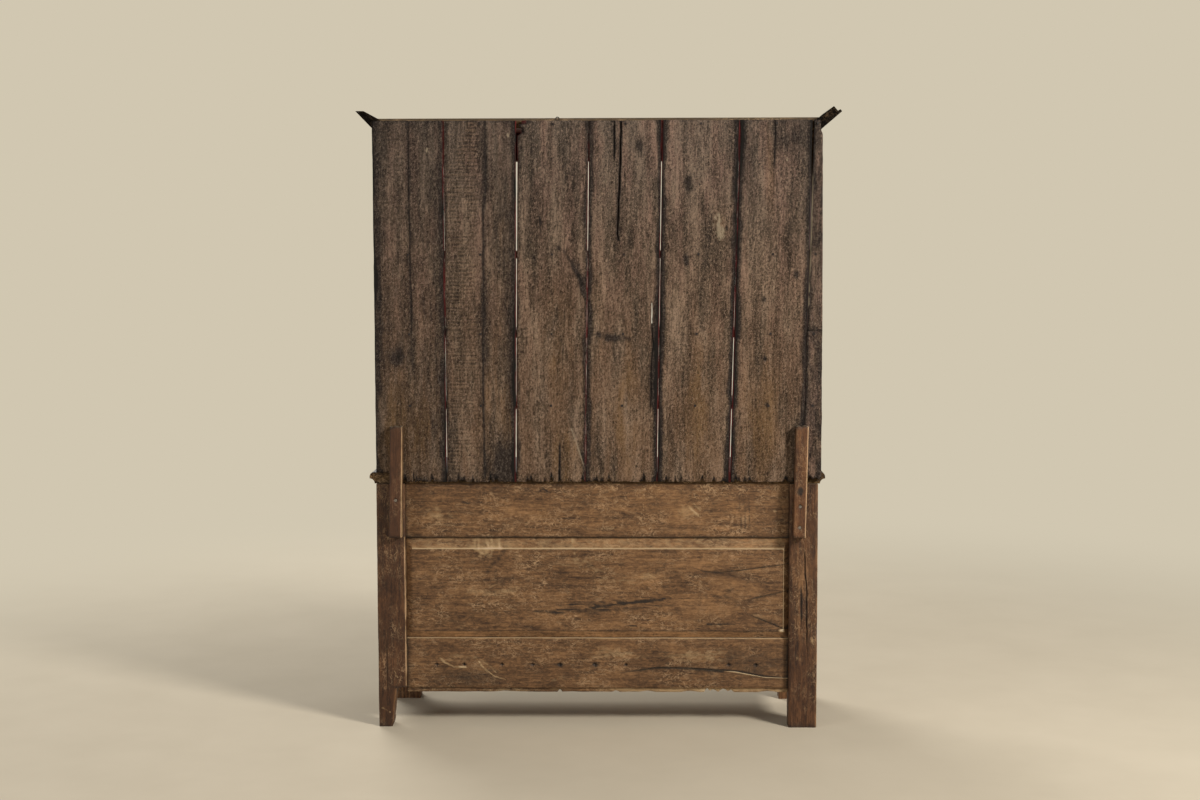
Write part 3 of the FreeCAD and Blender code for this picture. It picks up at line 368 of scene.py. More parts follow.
class Tree:
    """The nodes of a material or a world, wired by short calls that each give back a socket."""

    def __init__(self, owner, kind):
        owner.use_nodes = True
        self.nodes, self.links = owner.node_tree.nodes, owner.node_tree.links
        self.nodes.clear()
        self.output = self.nodes.new("ShaderNodeOutput" + kind).inputs[0]

    def put(self, socket, value):
        if isinstance(value, bpy.types.NodeSocket):
            self.links.new(value, socket)
        else:
            socket.default_value = value

    def make(self, kind, inputs, out=0, **settings):
        """One of the outputs of a new node with these inputs and settings."""
        node = self.nodes.new("ShaderNode" + kind)
        for name, value in settings.items():
            setattr(node, name, value)
        for name, value in inputs.items():
            self.put(node.inputs[name], value)
        return node.outputs[out]

    def math(self, operation, first, second=0.0, clamp=False):
        return self.make("Math", {0: first, 1: second}, operation=operation, use_clamp=clamp)

    def times(self, first, second, clamp=False):
        return self.math("MULTIPLY", first, second, clamp)

    def plus(self, first, second, clamp=False):
        return self.math("ADD", first, second, clamp)

    def fit(self, value, low, high, to_low=0.0, to_high=1.0):
        """The value brought from one range to another, and held there."""
        return self.make("MapRange", dict(enumerate((value, low, high, to_low, to_high))))

    def blend(self, *parts):
        """The weighted mean of several values."""
        whole = sum(weight for _, weight in parts)
        total = None
        for value, weight in parts:
            part = self.times(value, weight / whole)
            total = part if total is None else self.plus(total, part)
        return total

    def seen(self):
        """1 on rays from the camera and on those that gloss and glass send on."""
        rays = self.make("LightPath", {}).node.outputs
        direct = self.plus(rays["Is Camera Ray"], rays["Is Glossy Ray"])
        return self.plus(direct, rays["Is Transmission Ray"], True)


class Surface(Tree):
    """A material of one shader, whose colour is laid down in layers."""

    OWN_SHIFT, ISLAND_SHIFT = 9.0, 5.0

    def __init__(self, name):
        self.material = bpy.data.materials.new(name)
        super().__init__(self.material, "Material")
        self.shader = self.nodes.new("ShaderNodeBsdfPrincipled")
        self.put(self.output, self.shader.outputs[0])
        self.object = self.make("TexCoord", {}, "Object")

    def parts(self, vector):
        """x, y and z of a vector."""
        return self.make("SeparateXYZ", {0: vector}).node.outputs

    def marks(self):
        """Soiling with painted shade, warmth, paleness with painted highlights, and saw lines of a net."""
        colour = self.make("Attribute", {}, "Color", attribute_name="marks")
        return (*self.make("SeparateColor", {0: colour}).node.outputs, colour.node.outputs["Alpha"])

    def grain(self, axis):
        """Places with x along the grain and y and z across it, shifted for each piece of timber."""
        parts = self.parts(self.object)
        turned = self.make("CombineXYZ", {place: parts[(axis + place) % 3] for place in range(3)})
        own = self.times(self.make("ObjectInfo", {}, "Random"), self.OWN_SHIFT)
        island = self.times(self.make("NewGeometry", {}, "Random Per Island"), self.ISLAND_SHIFT)
        return self.make("VectorMath", {0: turned, 1: self.plus(own, island)})

    def stretch(self, vector, scale):
        return self.make("Mapping", {"Vector": vector, "Scale": scale})

    def slant(self, vector, angle):
        return self.make("Mapping", {"Vector": vector, "Rotation": (0, 0, angle)})

    def noise(self, vector, along, across, detail=4.0, roughness=0.6, distortion=0.0):
        """Noise with so many lumps to the metre along the grain and across it."""
        return self.make("TexNoise", {"Vector": self.stretch(vector, (along, across, across)), "Scale": 1.0,
                                      "Detail": detail, "Roughness": roughness, "Distortion": distortion})

    def wave(self, vector, scale, distortion, detail=3.0, detail_scale=1.4):
        return self.make("TexWave", {"Vector": vector, "Scale": scale, "Distortion": distortion,
                                     "Detail": detail, "Detail Scale": detail_scale}, "Fac")

    def ramp(self, value, places, colours):
        node = self.make("ValToRGB", {0: value}).node
        points = node.color_ramp.elements
        while len(points) < len(places):
            points.new(0.5)
        for point, place, colour in zip(points, places, colours):
            point.position, point.color = place, colour
        return node.outputs[0]

    def mix(self, share, first, second):
        return self.make("Mix", {0: share, 6: first, 7: second}, 2, data_type="RGBA")

    def cover(self, share, colour):
        """Lays a colour over those laid before it."""
        self.colour = self.mix(share, self.colour, colour)

    def settle(self, pattern, least, most):
        """Lays dust on what faces up."""
        upward = self.parts(self.make("NewGeometry", {}, "Normal"))[2]
        self.cover(self.times(self.fit(upward, 0.5, 0.95), self.fit(pattern, 0.3, 0.7, least, most)), DUST_AND_PAINTED_LIGHT)

    def bump(self, height, distance):
        normal = self.make("Bump", {"Height": height, "Distance": distance, "Strength": 1.0})
        self.put(self.shader.inputs["Normal"], normal)

    def finish(self, roughness, level):
        self.put(self.shader.inputs["Base Color"], self.colour)
        self.put(self.shader.inputs["Roughness"], roughness)
        self.put(self.shader.inputs["Specular IOR Level"], level)
        return self.material


DUST_AND_PAINTED_LIGHT, TAN_DUST_AND_HIGHLIGHT, SOOT_AND_SHADE = tone(164, 148, 124), tone(170, 142, 104), tone(24, 20, 18)
BRIGHT_WEAR_AND_HIGHLIGHT, PINK_WEAR_AND_HIGHLIGHT = tone(206, 188, 158), tone(198, 150, 120)
SCRATCH, RUBBED, GOLDEN = tone(176, 144, 108), tone(158, 122, 90), tone(164, 122, 80)
PAINT_TONES = tone(60, 20, 17), tone(92, 32, 26), tone(116, 49, 38)
PAINT_FRINGE = tone(122, 36, 34)
UNDER_PAINT = tone(72, 50, 35), tone(128, 96, 66)
BOARD_TONES = tone(46, 38, 31), tone(105, 87, 71), tone(160, 135, 113)
PINK_TONES = BOARD_TONES[0], tone(110, 88, 76), tone(156, 127, 110)
COOL_TONES = tone(44, 38, 35), tone(120, 107, 96)
WARM_TONES = tone(66, 47, 31), tone(143, 112, 78)
STAIN_AND_SHADE_TONES = tone(23, 18, 17), tone(48, 40, 36), tone(96, 85, 76)
SAW_RIDGE_HIGHLIGHT = tone(142, 116, 92)
FRAME_TONES = tone(55, 37, 23), tone(98, 70, 45), tone(136, 101, 67)
FRONT_TONES = tone(50, 31, 19), tone(102, 69, 43), tone(134, 95, 61)
POST_TONES = tone(40, 23, 13), tone(69, 43, 25), tone(98, 65, 40)
CORNICE_TONES = tone(14, 12, 10), tone(29, 24, 19), tone(52, 44, 35)
INNER_TONES = tone(92, 66, 42), tone(140, 106, 72), tone(176, 140, 100)
BATTEN_LEFT_TONES = tone(62, 37, 22), tone(90, 57, 33), tone(116, 78, 48)
BATTEN_RIGHT_TONES = tone(48, 29, 18), tone(68, 42, 25), tone(88, 57, 36)
BARE_TONES = tone(38, 27, 15), tone(68, 50, 29), tone(98, 75, 45)
SOOTY_TONES = tone(9, 8, 7), tone(20, 17, 14), tone(42, 36, 30)
IRON_TONES = tone(26, 24, 24), tone(46, 40, 37), tone(82, 52, 36)
STEEL_TONES = tone(92, 86, 78), tone(128, 119, 106), tone(112, 82, 58)
TURNED_TONES = tone(38, 23, 15), tone(88, 56, 36)

# Metres: the heights over which the boards turn cool, and the y over which their inner paint begins.
COOL_FROM, PAINTED_FROM = (1.4, 1.9), (0.1965, 0.1945)
STROKE_SLANT = math.radians(14)
RINGS_DRAWN = 18
# Lumps to the metre along and across the grain, thinness and strength of coarse and fine scratches.
SCRATCHES = (17, 34, 0.026, 0.85), (38, 56, 0.045, 0.7)


def weathered(name):
    """Rough-sawn board, stained and with painted shade along its edges, with the red of the rack's paint on
    its inner side.
    """
    tree = Surface(name)
    grain = tree.grain(2)
    dirt, warm, pale, saw = tree.marks()
    dark, _, light = BOARD_TONES
    _, y, z = tree.parts(tree.object)
    wool = tree.noise(tree.slant(grain, STROKE_SLANT), 125, 190, 5, 0.7, 1.0)
    fibre = tree.noise(grain, 14, 150, 5, 0.7, 0.4)
    cloud = tree.noise(grain, 3, 20, 4, 0.6, 0.5)
    patches = tree.noise(grain, 4, 22, 4, 0.6)
    kerf = tree.wave(tree.stretch(grain, (1, 0.1, 0.1)), 27, 5.0, 4, 3.0)
    cut = tree.times(saw, tree.fit(tree.noise(grain, 30, 30, 3, 0.6), 0.36, 0.6), True)
    figure = tree.blend((cloud, 0.32), (fibre, 0.26), (wool, 0.42))
    tree.colour = tree.ramp(figure, (0.42, 0.5, 0.58), BOARD_TONES)
    tree.cover(tree.fit(patches, 0.42, 0.6), tree.ramp(figure, (0.42, 0.5, 0.58), PINK_TONES))
    cool = tree.times(tree.fit(z, *COOL_FROM), tree.fit(patches, 0.64, 0.42, 0.1, 0.75))
    tree.cover(cool, tree.ramp(figure, (0.41, 0.59), COOL_TONES))
    warmth = tree.times(warm, tree.fit(patches, 0.36, 0.58), True)
    tree.cover(warmth, tree.ramp(figure, (0.4, 0.6), WARM_TONES))
    # Saw lines: painted highlights on the ridges and painted shade in the kerfs, besides the bump.
    tree.cover(tree.times(cut, tree.fit(kerf, 0.5, 0.9, 0.0, 0.45)), SAW_RIDGE_HIGHLIGHT)
    tree.cover(tree.times(cut, tree.fit(kerf, 0.42, 0.08, 0.0, 0.5)), dark)
    tree.cover(tree.fit(wool, 0.55, 0.68, 0.0, 0.76), light)
    tree.cover(tree.fit(wool, 0.45, 0.33, 0.0, 0.78), dark)
    # Dark marks, both stains and the painted shade along the edges and in the chips, go to the stain colours
    # and then to soot.
    grime_and_shade = tree.fit(tree.plus(dirt, tree.noise(grain, 16, 90, 6, 0.72)), 0.66, 1.12)
    tree.cover(tree.times(grime_and_shade, 0.93), tree.ramp(wool, (0.38, 0.53, 0.66), STAIN_AND_SHADE_TONES))
    tree.cover(tree.fit(dirt, 0.86, 1.0), SOOT_AND_SHADE)
    # Pale marks go to a dusty colour; the painted light along the strip's slit is among them.
    fleck = tree.fit(tree.plus(pale, tree.noise(grain, 60, 160, 4, 0.7)), 0.9, 1.3)
    tree.cover(tree.times(fleck, 0.85), DUST_AND_PAINTED_LIGHT)
    red = tree.ramp(tree.noise(grain, 9, 120, 5, 0.7), (0.3, 0.5, 0.7), PAINT_TONES)
    tree.cover(tree.times(tree.fit(y, *PAINTED_FROM), 0.9), red)
    tree.cover(tree.times(tree.make("Attribute", {}, "Fac", attribute_name="paint"), 0.8), PAINT_FRINGE)
    tree.bump(tree.blend((wool, 1.0), (fibre, 0.3), (tree.times(cut, kerf), 0.35)), 0.015)
    return tree.finish(tree.fit(wool, 0.3, 0.7, 0.95, 0.75), 0.22)


def joinery(name, axis, tones, worn=0.0, gloss=(0.42, 0.7), dust=0.45, scratched=1.0, rings=0.0,
            specular=0.32):
    """Waxed or bare timber with its figure, open pores, scratches, soiling and dust, painted shade and
    painted highlights.
    """
    tree = Surface(name)
    grain = tree.grain(axis)
    dirt, warm, pale, _ = tree.marks()
    dark, middle, _ = tones
    fibre = tree.noise(grain, 9, 150, 5, 0.7, 0.3)
    cloud = tree.noise(grain, 5.5, 15, 5, 0.64, 0.9)
    pores = tree.noise(grain, 40, 520, 3, 0.6)
    scuff = tree.noise(grain, 34, 64, 7, 0.75, 0.8)
    fuzz = tree.noise(grain, 46, 92, 5, 0.7, 1.2)
    streak = tree.noise(grain, 5, 150, 4, 0.6, 0.3)
    shade = tree.blend((fibre, 0.34), (cloud, 0.24), (fuzz, 0.42 * scratched))
    tree.colour = tree.ramp(shade, (0.4, 0.5, 0.6), tones)
    if rings:
        growth = tree.math("FRACT", tree.times(tree.noise(grain, 0.8, 6, 2, 0.5, 0.3), RINGS_DRAWN))
        tree.cover(tree.fit(growth, 0.3, 1.0, 0.0, rings), dark)
    tree.cover(tree.fit(pores, 0.58, 0.7, 0.0, 0.4), dark)
    tree.cover(tree.fit(streak, 0.6, 0.7, 0.0, 0.35), dark)
    rubbed = tree.times(tree.fit(tree.noise(grain, 8, 11, 3), 0.44, 0.58), tree.fit(scuff, 0.4, 0.56))
    for along, across, thin, strength in SCRATCHES:
        lumps = tree.noise(grain, along, across, 3, 0.5, 1.4)
        line = tree.math("ABSOLUTE", tree.math("SUBTRACT", lumps, 0.5))
        tree.cover(tree.times(tree.fit(line, 0.0, thin, strength * scratched, 0.0), rubbed), SCRATCH)
    if worn:
        tree.cover(tree.fit(scuff, 0.38, 0.6, 0.15 * worn, worn), RUBBED)
    warmth = tree.times(warm, tree.fit(cloud, 0.34, 0.58), True)
    tree.cover(warmth, tree.ramp(shade, (0.4, 0.6), (middle, GOLDEN)))
    # Dark marks, painted shade among them, go towards soot; pale marks, painted highlights on lit edges among
    # them, go to tan dust and then to a bright or pink colour.
    tree.cover(tree.times(tree.fit(tree.plus(dirt, scuff), 0.68, 1.15), 0.9), SOOT_AND_SHADE)
    tree.cover(tree.times(tree.fit(tree.plus(pale, scuff), 0.82, 1.2), 0.85), TAN_DUST_AND_HIGHLIGHT)
    tree.cover(tree.fit(pale, 0.72, 0.98, 0.0, 0.85), tree.mix(warm, BRIGHT_WEAR_AND_HIGHLIGHT, PINK_WEAR_AND_HIGHLIGHT))
    tree.settle(scuff, 0.2 * dust, dust)
    tree.bump(tree.blend((fibre, 0.4), (pores, 0.3), (scuff, 0.5), (fuzz, 0.5)), 0.004)
    return tree.finish(tree.fit(scuff, 0.3, 0.7, *gloss), specular)


def painted(name, axis, worn):
    """Old dark red brushed paint, rubbed through to the wood where hands and plates wore it."""
    tree = Surface(name)
    grain = tree.grain(axis)
    brush = tree.noise(grain, 7, 260, 5, 0.65)
    cloud = tree.noise(grain, 3, 8, 4, 0.6)
    scuff = tree.noise(grain, 22, 55, 8, 0.75, 0.7)
    tree.colour = tree.ramp(tree.blend((brush, 0.5), (cloud, 0.6)), (0.36, 0.5, 0.64), PAINT_TONES)
    bare = tree.fit(scuff, 0.62 - 0.22 * worn, 0.72 - 0.2 * worn)
    tree.cover(tree.times(bare, 0.9), tree.ramp(brush, (0.35, 0.65), UNDER_PAINT))
    tree.settle(cloud, 0.08, 0.4)
    tree.bump(tree.blend((brush, 0.7), (bare, -0.5), (scuff, 0.4)), 0.0014)
    return tree.finish(tree.fit(scuff, 0.3, 0.7, 0.5, 0.72), 0.35)


def ironwork(name, tones):
    """Dull iron with rust in its hollows."""
    tree = Surface(name)
    rust = tree.noise(tree.object, 240, 240, 7, 0.75)
    fine = tree.noise(tree.object, 900, 900, 3, 0.6)
    tree.colour = tree.ramp(rust, (0.38, 0.55, 0.68), tones)
    tree.put(tree.shader.inputs["Metallic"], tree.fit(rust, 0.45, 0.62, 0.3, 0.05))
    tree.bump(tree.blend((rust, 0.6), (fine, 0.4)), 0.0006)
    return tree.finish(tree.fit(rust, 0.35, 0.65, 0.42, 0.8), 0.4)


def turned(name):
    """Dark turned wood, polished by use."""
    tree = Surface(name)
    grain = tree.grain(1)
    fibre = tree.noise(grain, 40, 420, 5, 0.65)
    cloud = tree.noise(grain, 30, 60, 3, 0.6)
    lathe = tree.wave(tree.stretch(tree.object, (0.01, 1, 0.01)), 180, 0.6)
    tree.colour = tree.ramp(tree.blend((fibre, 0.5), (cloud, 0.5)), (0.36, 0.64), TURNED_TONES)
    tree.bump(tree.blend((fibre, 0.5), (lathe, 0.3)), 0.0004)
    tree.put(tree.shader.inputs["Coat Weight"], 0.25)
    tree.put(tree.shader.inputs["Coat Roughness"], 0.3)
    return tree.finish(tree.fit(cloud, 0.3, 0.7, 0.32, 0.5), 0.4)


def by_axis(make, name, rubbed, **looks):
    """Materials with their grain along x, y and z, for faces and then for rubbed corners."""
    return [make(f"{name}_{letter}", axis, worn=worn, **looks)
            for worn in (0.0, rubbed) for axis, letter in enumerate("xyz")]


BOARD_WOOD = weathered("board_wood_weathered")
WOODS = {
    "frame_wood": by_axis(joinery, "frame_wood", 0.8, tones=FRONT_TONES, scratched=0.35, rings=0.6),
    "inner_wood": by_axis(joinery, "inner_wood", 0.4, tones=INNER_TONES, gloss=(0.7, 0.9), scratched=0.3,
                          rings=0.4),
    "painted_wood": by_axis(painted, "painted_wood", 1.0),
}
DARK_WOOD = by_axis(joinery, "dark_wood", 0.12, tones=CORNICE_TONES, dust=0.05, scratched=0.25)
POST_WOOD = joinery("post_wood", 2, POST_TONES, scratched=0.6)
RAIL_WOOD = joinery("rail_wood", 0, FRAME_TONES)
BATTEN_WOOD = {
    "batten_left": joinery("batten_left_wood", 2, BATTEN_LEFT_TONES, scratched=0.6),
    "batten_right": joinery("batten_right_wood", 2, BATTEN_RIGHT_TONES, scratched=0.5),
}
BARE_WOOD = joinery("bare_edge", 0, BARE_TONES, gloss=(0.8, 0.95))
SOOTY_WOOD = joinery("sooty_end", 1, SOOTY_TONES, gloss=(0.8, 0.95), dust=0.0, scratched=0.2, specular=0.0)
IRON, STEEL = ironwork("wrought_iron", IRON_TONES), ironwork("screw_steel", STEEL_TONES)
KNOB_WOOD = turned("turned_wood")

BOARDS = 6
BOARD_STEPS, STRIP_STEPS = (6.5, 3.2), (6.5, 4.0)
BOARDS_COOL_ABOVE, BOARDS_WARM_BELOW, BOARDS_WARMTH = 1750, 950, 0.55
NOTCH_WIDE, NOTCH_HIGH = 45, 31
CHIPS, CHIP_SHADE, CHIP_FADE = 9, 0.8, 5
EDGE_SHADE, EDGE_SHADE_REACH = 0.27, 22
STAIN_REACH, STAIN_SOFT = 14, 3.5
NAIL_HOLE_DEPTH, SAW_SOFT = 9, 14

# Height and width of the light gap along each joint, the last one beside the strip.
GAPS = [
    [(796, 1.6), (880, 3.0), (1000, 2.4), (1230, 2.0), (1290, 1.7), (1923, 1.7)],
    [(796, 1.8), (860, 3.6), (1000, 3.2), (1060, 1.6), (1240, 1.8), (1280, 2.6), (1480, 2.8), (1530, 3.6),
     (1650, 4.4), (1810, 5.4), (1923, 4.6)],
    [(796, 0.5), (1000, 0.5), (1280, 0.6), (1500, 0.8), (1530, 2.0), (1810, 2.4), (1923, 1.6)],
    [(796, 0.9), (860, 1.8), (1010, 1.4), (1060, 0.5), (1240, 0.5), (1290, 0.9), (1490, 1.2), (1530, 2.0),
     (1810, 2.6), (1923, 1.2)],
    [(796, 1.4), (860, 3.2), (1000, 2.9), (1060, 2.5), (1250, 2.5), (1300, 1.0), (1923, 0.8)],
    [(789, 1.4), (1000, 1.8), (1480, 2.2), (1530, 3.6), (1760, 4.2), (1800, 5.6), (1923, 6.0)],
]


def joint_edge(number, z, side):
    """x of one side of the joint after a board, half of the gap at that height from the joint's middle."""
    foot, head, low, _ = sides_of(corners_of(f"back_board_{number}"))
    _, _, _, high = sides_of(corners_of(f"back_board_{number + 1}" if number < BOARDS else "back_strip"))
    middle = straight(foot, head, [(a + b) / 2 for a, b in zip(low, high)])
    gap = np.interp(z, *zip(*GAPS[number - 1]))
    ragged = 0.3 * rough(z / 50, number, 61) + 0.25 * rough(z / 8, number + 20 * side, 62)
    return middle(z) + side * np.maximum(gap / 2 + ragged, 0.1)


def back_board(number, stains, shade, tilt, splits=(), marks=(), saw=(), holes=(), broken=()):
    """One of the rack's back boards, with how dark its low and high x edges and its face are.

    saw lists stretches of x with saw lines, and broken lists heights and what is missing there from the
    edge of high x.
    """
    node = f"back_board_{number}"
    seed = 100 * number
    foot, head, low, high = sides_of(corners_of(node))
    outermost = number == 1
    widest = high[outermost]

    def high_edge(z):
        if outermost:
            return widest - 0.8 + 0.8 * rough(z / 60, 1, seed + 5)
        return joint_edge(number - 1, z, -1) - (np.interp(z, *zip(*broken)) if broken else 0)

    net = Net(True, (foot, head), (lambda z: joint_edge(number, z, 1), high_edge), BOARD_STEPS, seed, splits,
              rows=[*around(holes, 1), *(z for z, _ in broken)], lines=around(holes, 0))
    random = np.random.RandomState(seed + 9)
    chips = [(random.uniform(low[0], widest), random.uniform(2.5, 6), random.uniform(3, 15))
             for _ in range(CHIPS)]

    def ragged_foot(x):
        rise = 1.5 + 1.6 * rough(x / 22, 0, seed + 7) + 1.4 * rough(x / 5, 1, seed + 8)
        for place, wide, deep in chips:
            rise = rise + deep * unit(1 - np.abs(x - place) / wide)
        if outermost:
            rise = np.where(x > widest - NOTCH_WIDE, NOTCH_HIGH + 1.5 * rough(x / 6, 2, seed), rise)
        return rise

    net.ends(ragged_foot, lambda x: 1.5 * rough(x / 60, 0, seed + 3) + 0.8 * rough(x / 8, 1, seed + 4))
    net.wave(1.0, 260, 90, 2)
    net.wave(1.3, 22, 7)
    net.depth += 0.6 + tilt * ((net.t - net.t.mean()) / (widest - low[0])) * 2
    net.arris(3.4, 7)
    edges = ((stains[0], net.low_side, 31, number < BOARDS), (stains[1], net.high_side, 32, not outermost))
    for stain, side, place, beside_paint in edges:
        reach = STAIN_REACH * stain + 8 * rough(net.s / 110, 0, seed + place)
        reach = reach + 3 * rough(net.s / 16, 1, seed + place)
        net.dirt += stain / (1 + np.exp((side - reach) / STAIN_SOFT))
        if beside_paint:
            net.paint += unit(1.3 - side / 2.4) * unit(0.5 + rough(net.s / 55, 2, seed + place))
    for place, wide, deep in chips:
        under = unit(1.3 - np.abs(net.t - place) / wide)
        net.dirt += CHIP_SHADE * under * falling(np.clip(net.start - deep, 0, None), CHIP_FADE)
    uneven = 1 + 0.7 * rough(net.s / 90, net.t / 16, seed + 41)
    net.dirt += shade + EDGE_SHADE * falling(net.edge, EDGE_SHADE_REACH) * uneven
    net.dirt += 0.3 * falling(net.start, 6) + 0.22 * falling(net.end, 5)
    net.warm += unit((BOARDS_COOL_ABOVE - net.s) / (BOARDS_COOL_ABOVE - BOARDS_WARM_BELOW)) * BOARDS_WARMTH
    for hole in holes:
        net.pit(*hole, NAIL_HOLE_DEPTH)
    net.draw(marks)
    for x_low, x_high, amount in saw:
        uneven = 0.75 + 0.5 * rough(net.s / 90, net.t / 30, seed + 21)
        net.saw += amount * span(net.t, x_low, x_high, SAW_SOFT) * uneven
    board_piece(node, BOARD_WOOD, net)


back_board(
    1, (0.5, 0.4), 0.32, 0.4,
    splits=[Split([(585, 2200), (586, 1722), (584, 1485), (582, 1366), (580, 1080)], 0.7, 9, stain=0.4,
                  soft=260, through=[(1690, 1725), (1655, 1682), (1608, 1640)])],
    marks=[(DIRT_AND_SHADE, 626, 1186, 22, 26, 0.6), (WARM, 577, 1066, 9, 80, 0.9), (PALE, 528, 1833, 5, 10, 0.9),
           (DIRT_AND_SHADE, 690, 1500, 14, 300, 0.3), (WARM, 520, 950, 40, 120, 0.4), (WARM, 640, 920, 80, 170, 1.0),
           (DIRT_AND_SHADE, 650, 880, 60, 110, -0.2)],
    saw=[(596, 706, 0.45)])
back_board(
    2, (0.55, 0.15), 0.17, -0.5,
    splits=[Split([(347, 1940), (344, 1724), (354, 1631), (354, 1366), (358, 1114), (354, 780)], 0.4, 4,
                  stain=0.5, stain_reach=5)],
    marks=[(WARM, 300, 1010, 36, 200, 0.9), (WARM, 300, 1600, 26, 150, 0.5), (PALE, 274, 1879, 6, 8, 0.9),
           (DIRT_AND_SHADE, 350, 1780, 12, 120, 0.25), (DIRT_AND_SHADE, 352, 1250, 12, 160, 0.2), (DIRT_AND_SHADE, 300, 850, 44, 60, 0.55),
           (DIRT_AND_SHADE, 262, 1150, 10, 200, 0.3), (DIRT_AND_SHADE, 292, 1600, 60, 420, 0.22)],
    saw=[(366, 478, 1.0)])
back_board(
    3, (0.7, 0.5), -0.12, 0.5,
    splits=[Split([(180, 1642), (170, 1550)], 0.8, 6),
            Split([(116, 925), (119, 770)], 1.5, 10, stain=1.6, stain_reach=3)],
    marks=[(DIRT_AND_SHADE, 193, 1500, 10, 14, 0.8), (DIRT_AND_SHADE, 140, 1068, 6, 30, 0.4), (WARM, 95, 860, 40, 80, 0.9),
           (WARM, 120, 1250, 50, 160, 0.5), (DIRT_AND_SHADE, 130, 1110, 5, 22, 0.4), (PALE, 130, 1700, 80, 260, 0.38),
           (PALE, 120, 900, 70, 140, 0.25), (DIRT_AND_SHADE, 117, 1527, 9, 10, 0.8), (DIRT_AND_SHADE, 208, 1600, 10, 46, 0.4),
           (DIRT_AND_SHADE, [(100, 1518), (78, 1480), (52, 1430), (40, 1380)], 7, 0.6),
           (DIRT_AND_SHADE, [(66, 1490), (50, 1440), (40, 1390)], 13, 0.45),
           (PALE, [(80, 960), (62, 910), (44, 850), (26, 800)], 3.5, 0.6),
           (DIRT_AND_SHADE, [(66, 945), (48, 880), (32, 830)], 5, 0.4),
           (DIRT_AND_SHADE, [(186, 1700), (180, 1640), (170, 1600)], 4, 0.45)],
    holes=[(228, 1890, 3.5)],
    broken=[(1876, 0), (1884, 11), (1902, 13), (1905, 5), (1910, 4), (1912, 24), (1923, 26)])
back_board(
    4, (0.95, 0.75), -0.04, -0.3,
    splits=[Split([(-78, 1940), (-76, 1785), (-70, 1677), (-66, 1568), (-74, 1545)], 2.8, 14, stain=2.2,
                  stain_reach=3, soft=12),
            Split([(-57, 1940), (-57, 1788)], 1.8, 10, stain=2.0, stain_reach=3, soft=40),
            Split([(-174, 1372), (-174, 1284), (-178, 1224), (-173, 1170), (-170, 1003)], 1.2, 10, stain=0.7,
                  through=[(1290, 1362)])],
    marks=[(PALE, -25, 1731, 14, 22, 0.5), (DIRT_AND_SHADE, -40, 1246, 26, 18, 0.75), (DIRT_AND_SHADE, -90, 1245, 40, 12, 0.55),
           (WARM, -90, 1050, 50, 200, 0.5), (DIRT_AND_SHADE, -135, 1841, 15, 30, 0.85), (DIRT_AND_SHADE, -8, 1256, 12, 10, 0.6),
           (WARM, 0, 1300, 20, 140, 0.4), (DIRT_AND_SHADE, -186, 1200, 8, 170, 0.5)])
back_board(
    5, (0.95, 0.9), -0.06, 0.4,
    marks=[(DIRT_AND_SHADE, -288, 1730, 16, 34, 0.9), (DIRT_AND_SHADE, -283, 1490, 11, 22, 0.9), (DIRT_AND_SHADE, -408, 1589, 5, 7, 0.9),
           (DIRT_AND_SHADE, -393, 1560, 5, 6, 0.8), (PALE, -382, 1610, 18, 32, 0.8, 1.1),
           (PALE, -390, 1568, 17, 26, 0.74, 1.1), (WARM, -388, 1590, 20, 50, 0.8),
           (WARM, -320, 1050, 46, 220, 0.5), (PALE, -330, 1700, 30, 160, 0.2)])
back_board(
    6, (0.68, 0.95), 0.04, -0.4,
    splits=[Split([(-557, 1940), (-557, 1842), (-554, 1759)], 0.8, 8)],
    marks=[(WARM, -543, 1780, 14, 150, 0.4), (PALE, -595, 1800, 5, 7, 0.9), (DIRT_AND_SHADE, -626, 1444, 8, 12, 0.8),
           (DIRT_AND_SHADE, -526, 1366, 8, 10, 0.8), (DIRT_AND_SHADE, -529, 1180, 8, 10, 0.7), (DIRT_AND_SHADE, -535, 1035, 8, 10, 0.7),
           (WARM, -520, 1000, 50, 200, 0.5), (DIRT_AND_SHADE, -610, 1870, 70, 70, 0.42),
           (DIRT_AND_SHADE, -480, 1780, 34, 160, 0.3)])

STRIP_GROWN = [[(0, 0), (1270, 0)], [(1270, 9), (1780, 6), (1880, 5), (1890, 0)]]
STRIP_RAGGED = [2.6, 1.0]
STRIP_MEETS, STRIP_ROT, STRIP_STEP = 1.3, 15, 16
# Where along the strip the pale line on its inner edge runs, and how soft and wide it is: painted light that
# stands in for the bright slit beside it.
STRIP_SLIT_LIGHT, STRIP_SLIT_LIGHT_SOFT, STRIP_SLIT_LIGHT_WIDE = (1310, 1800), 70, 3.6


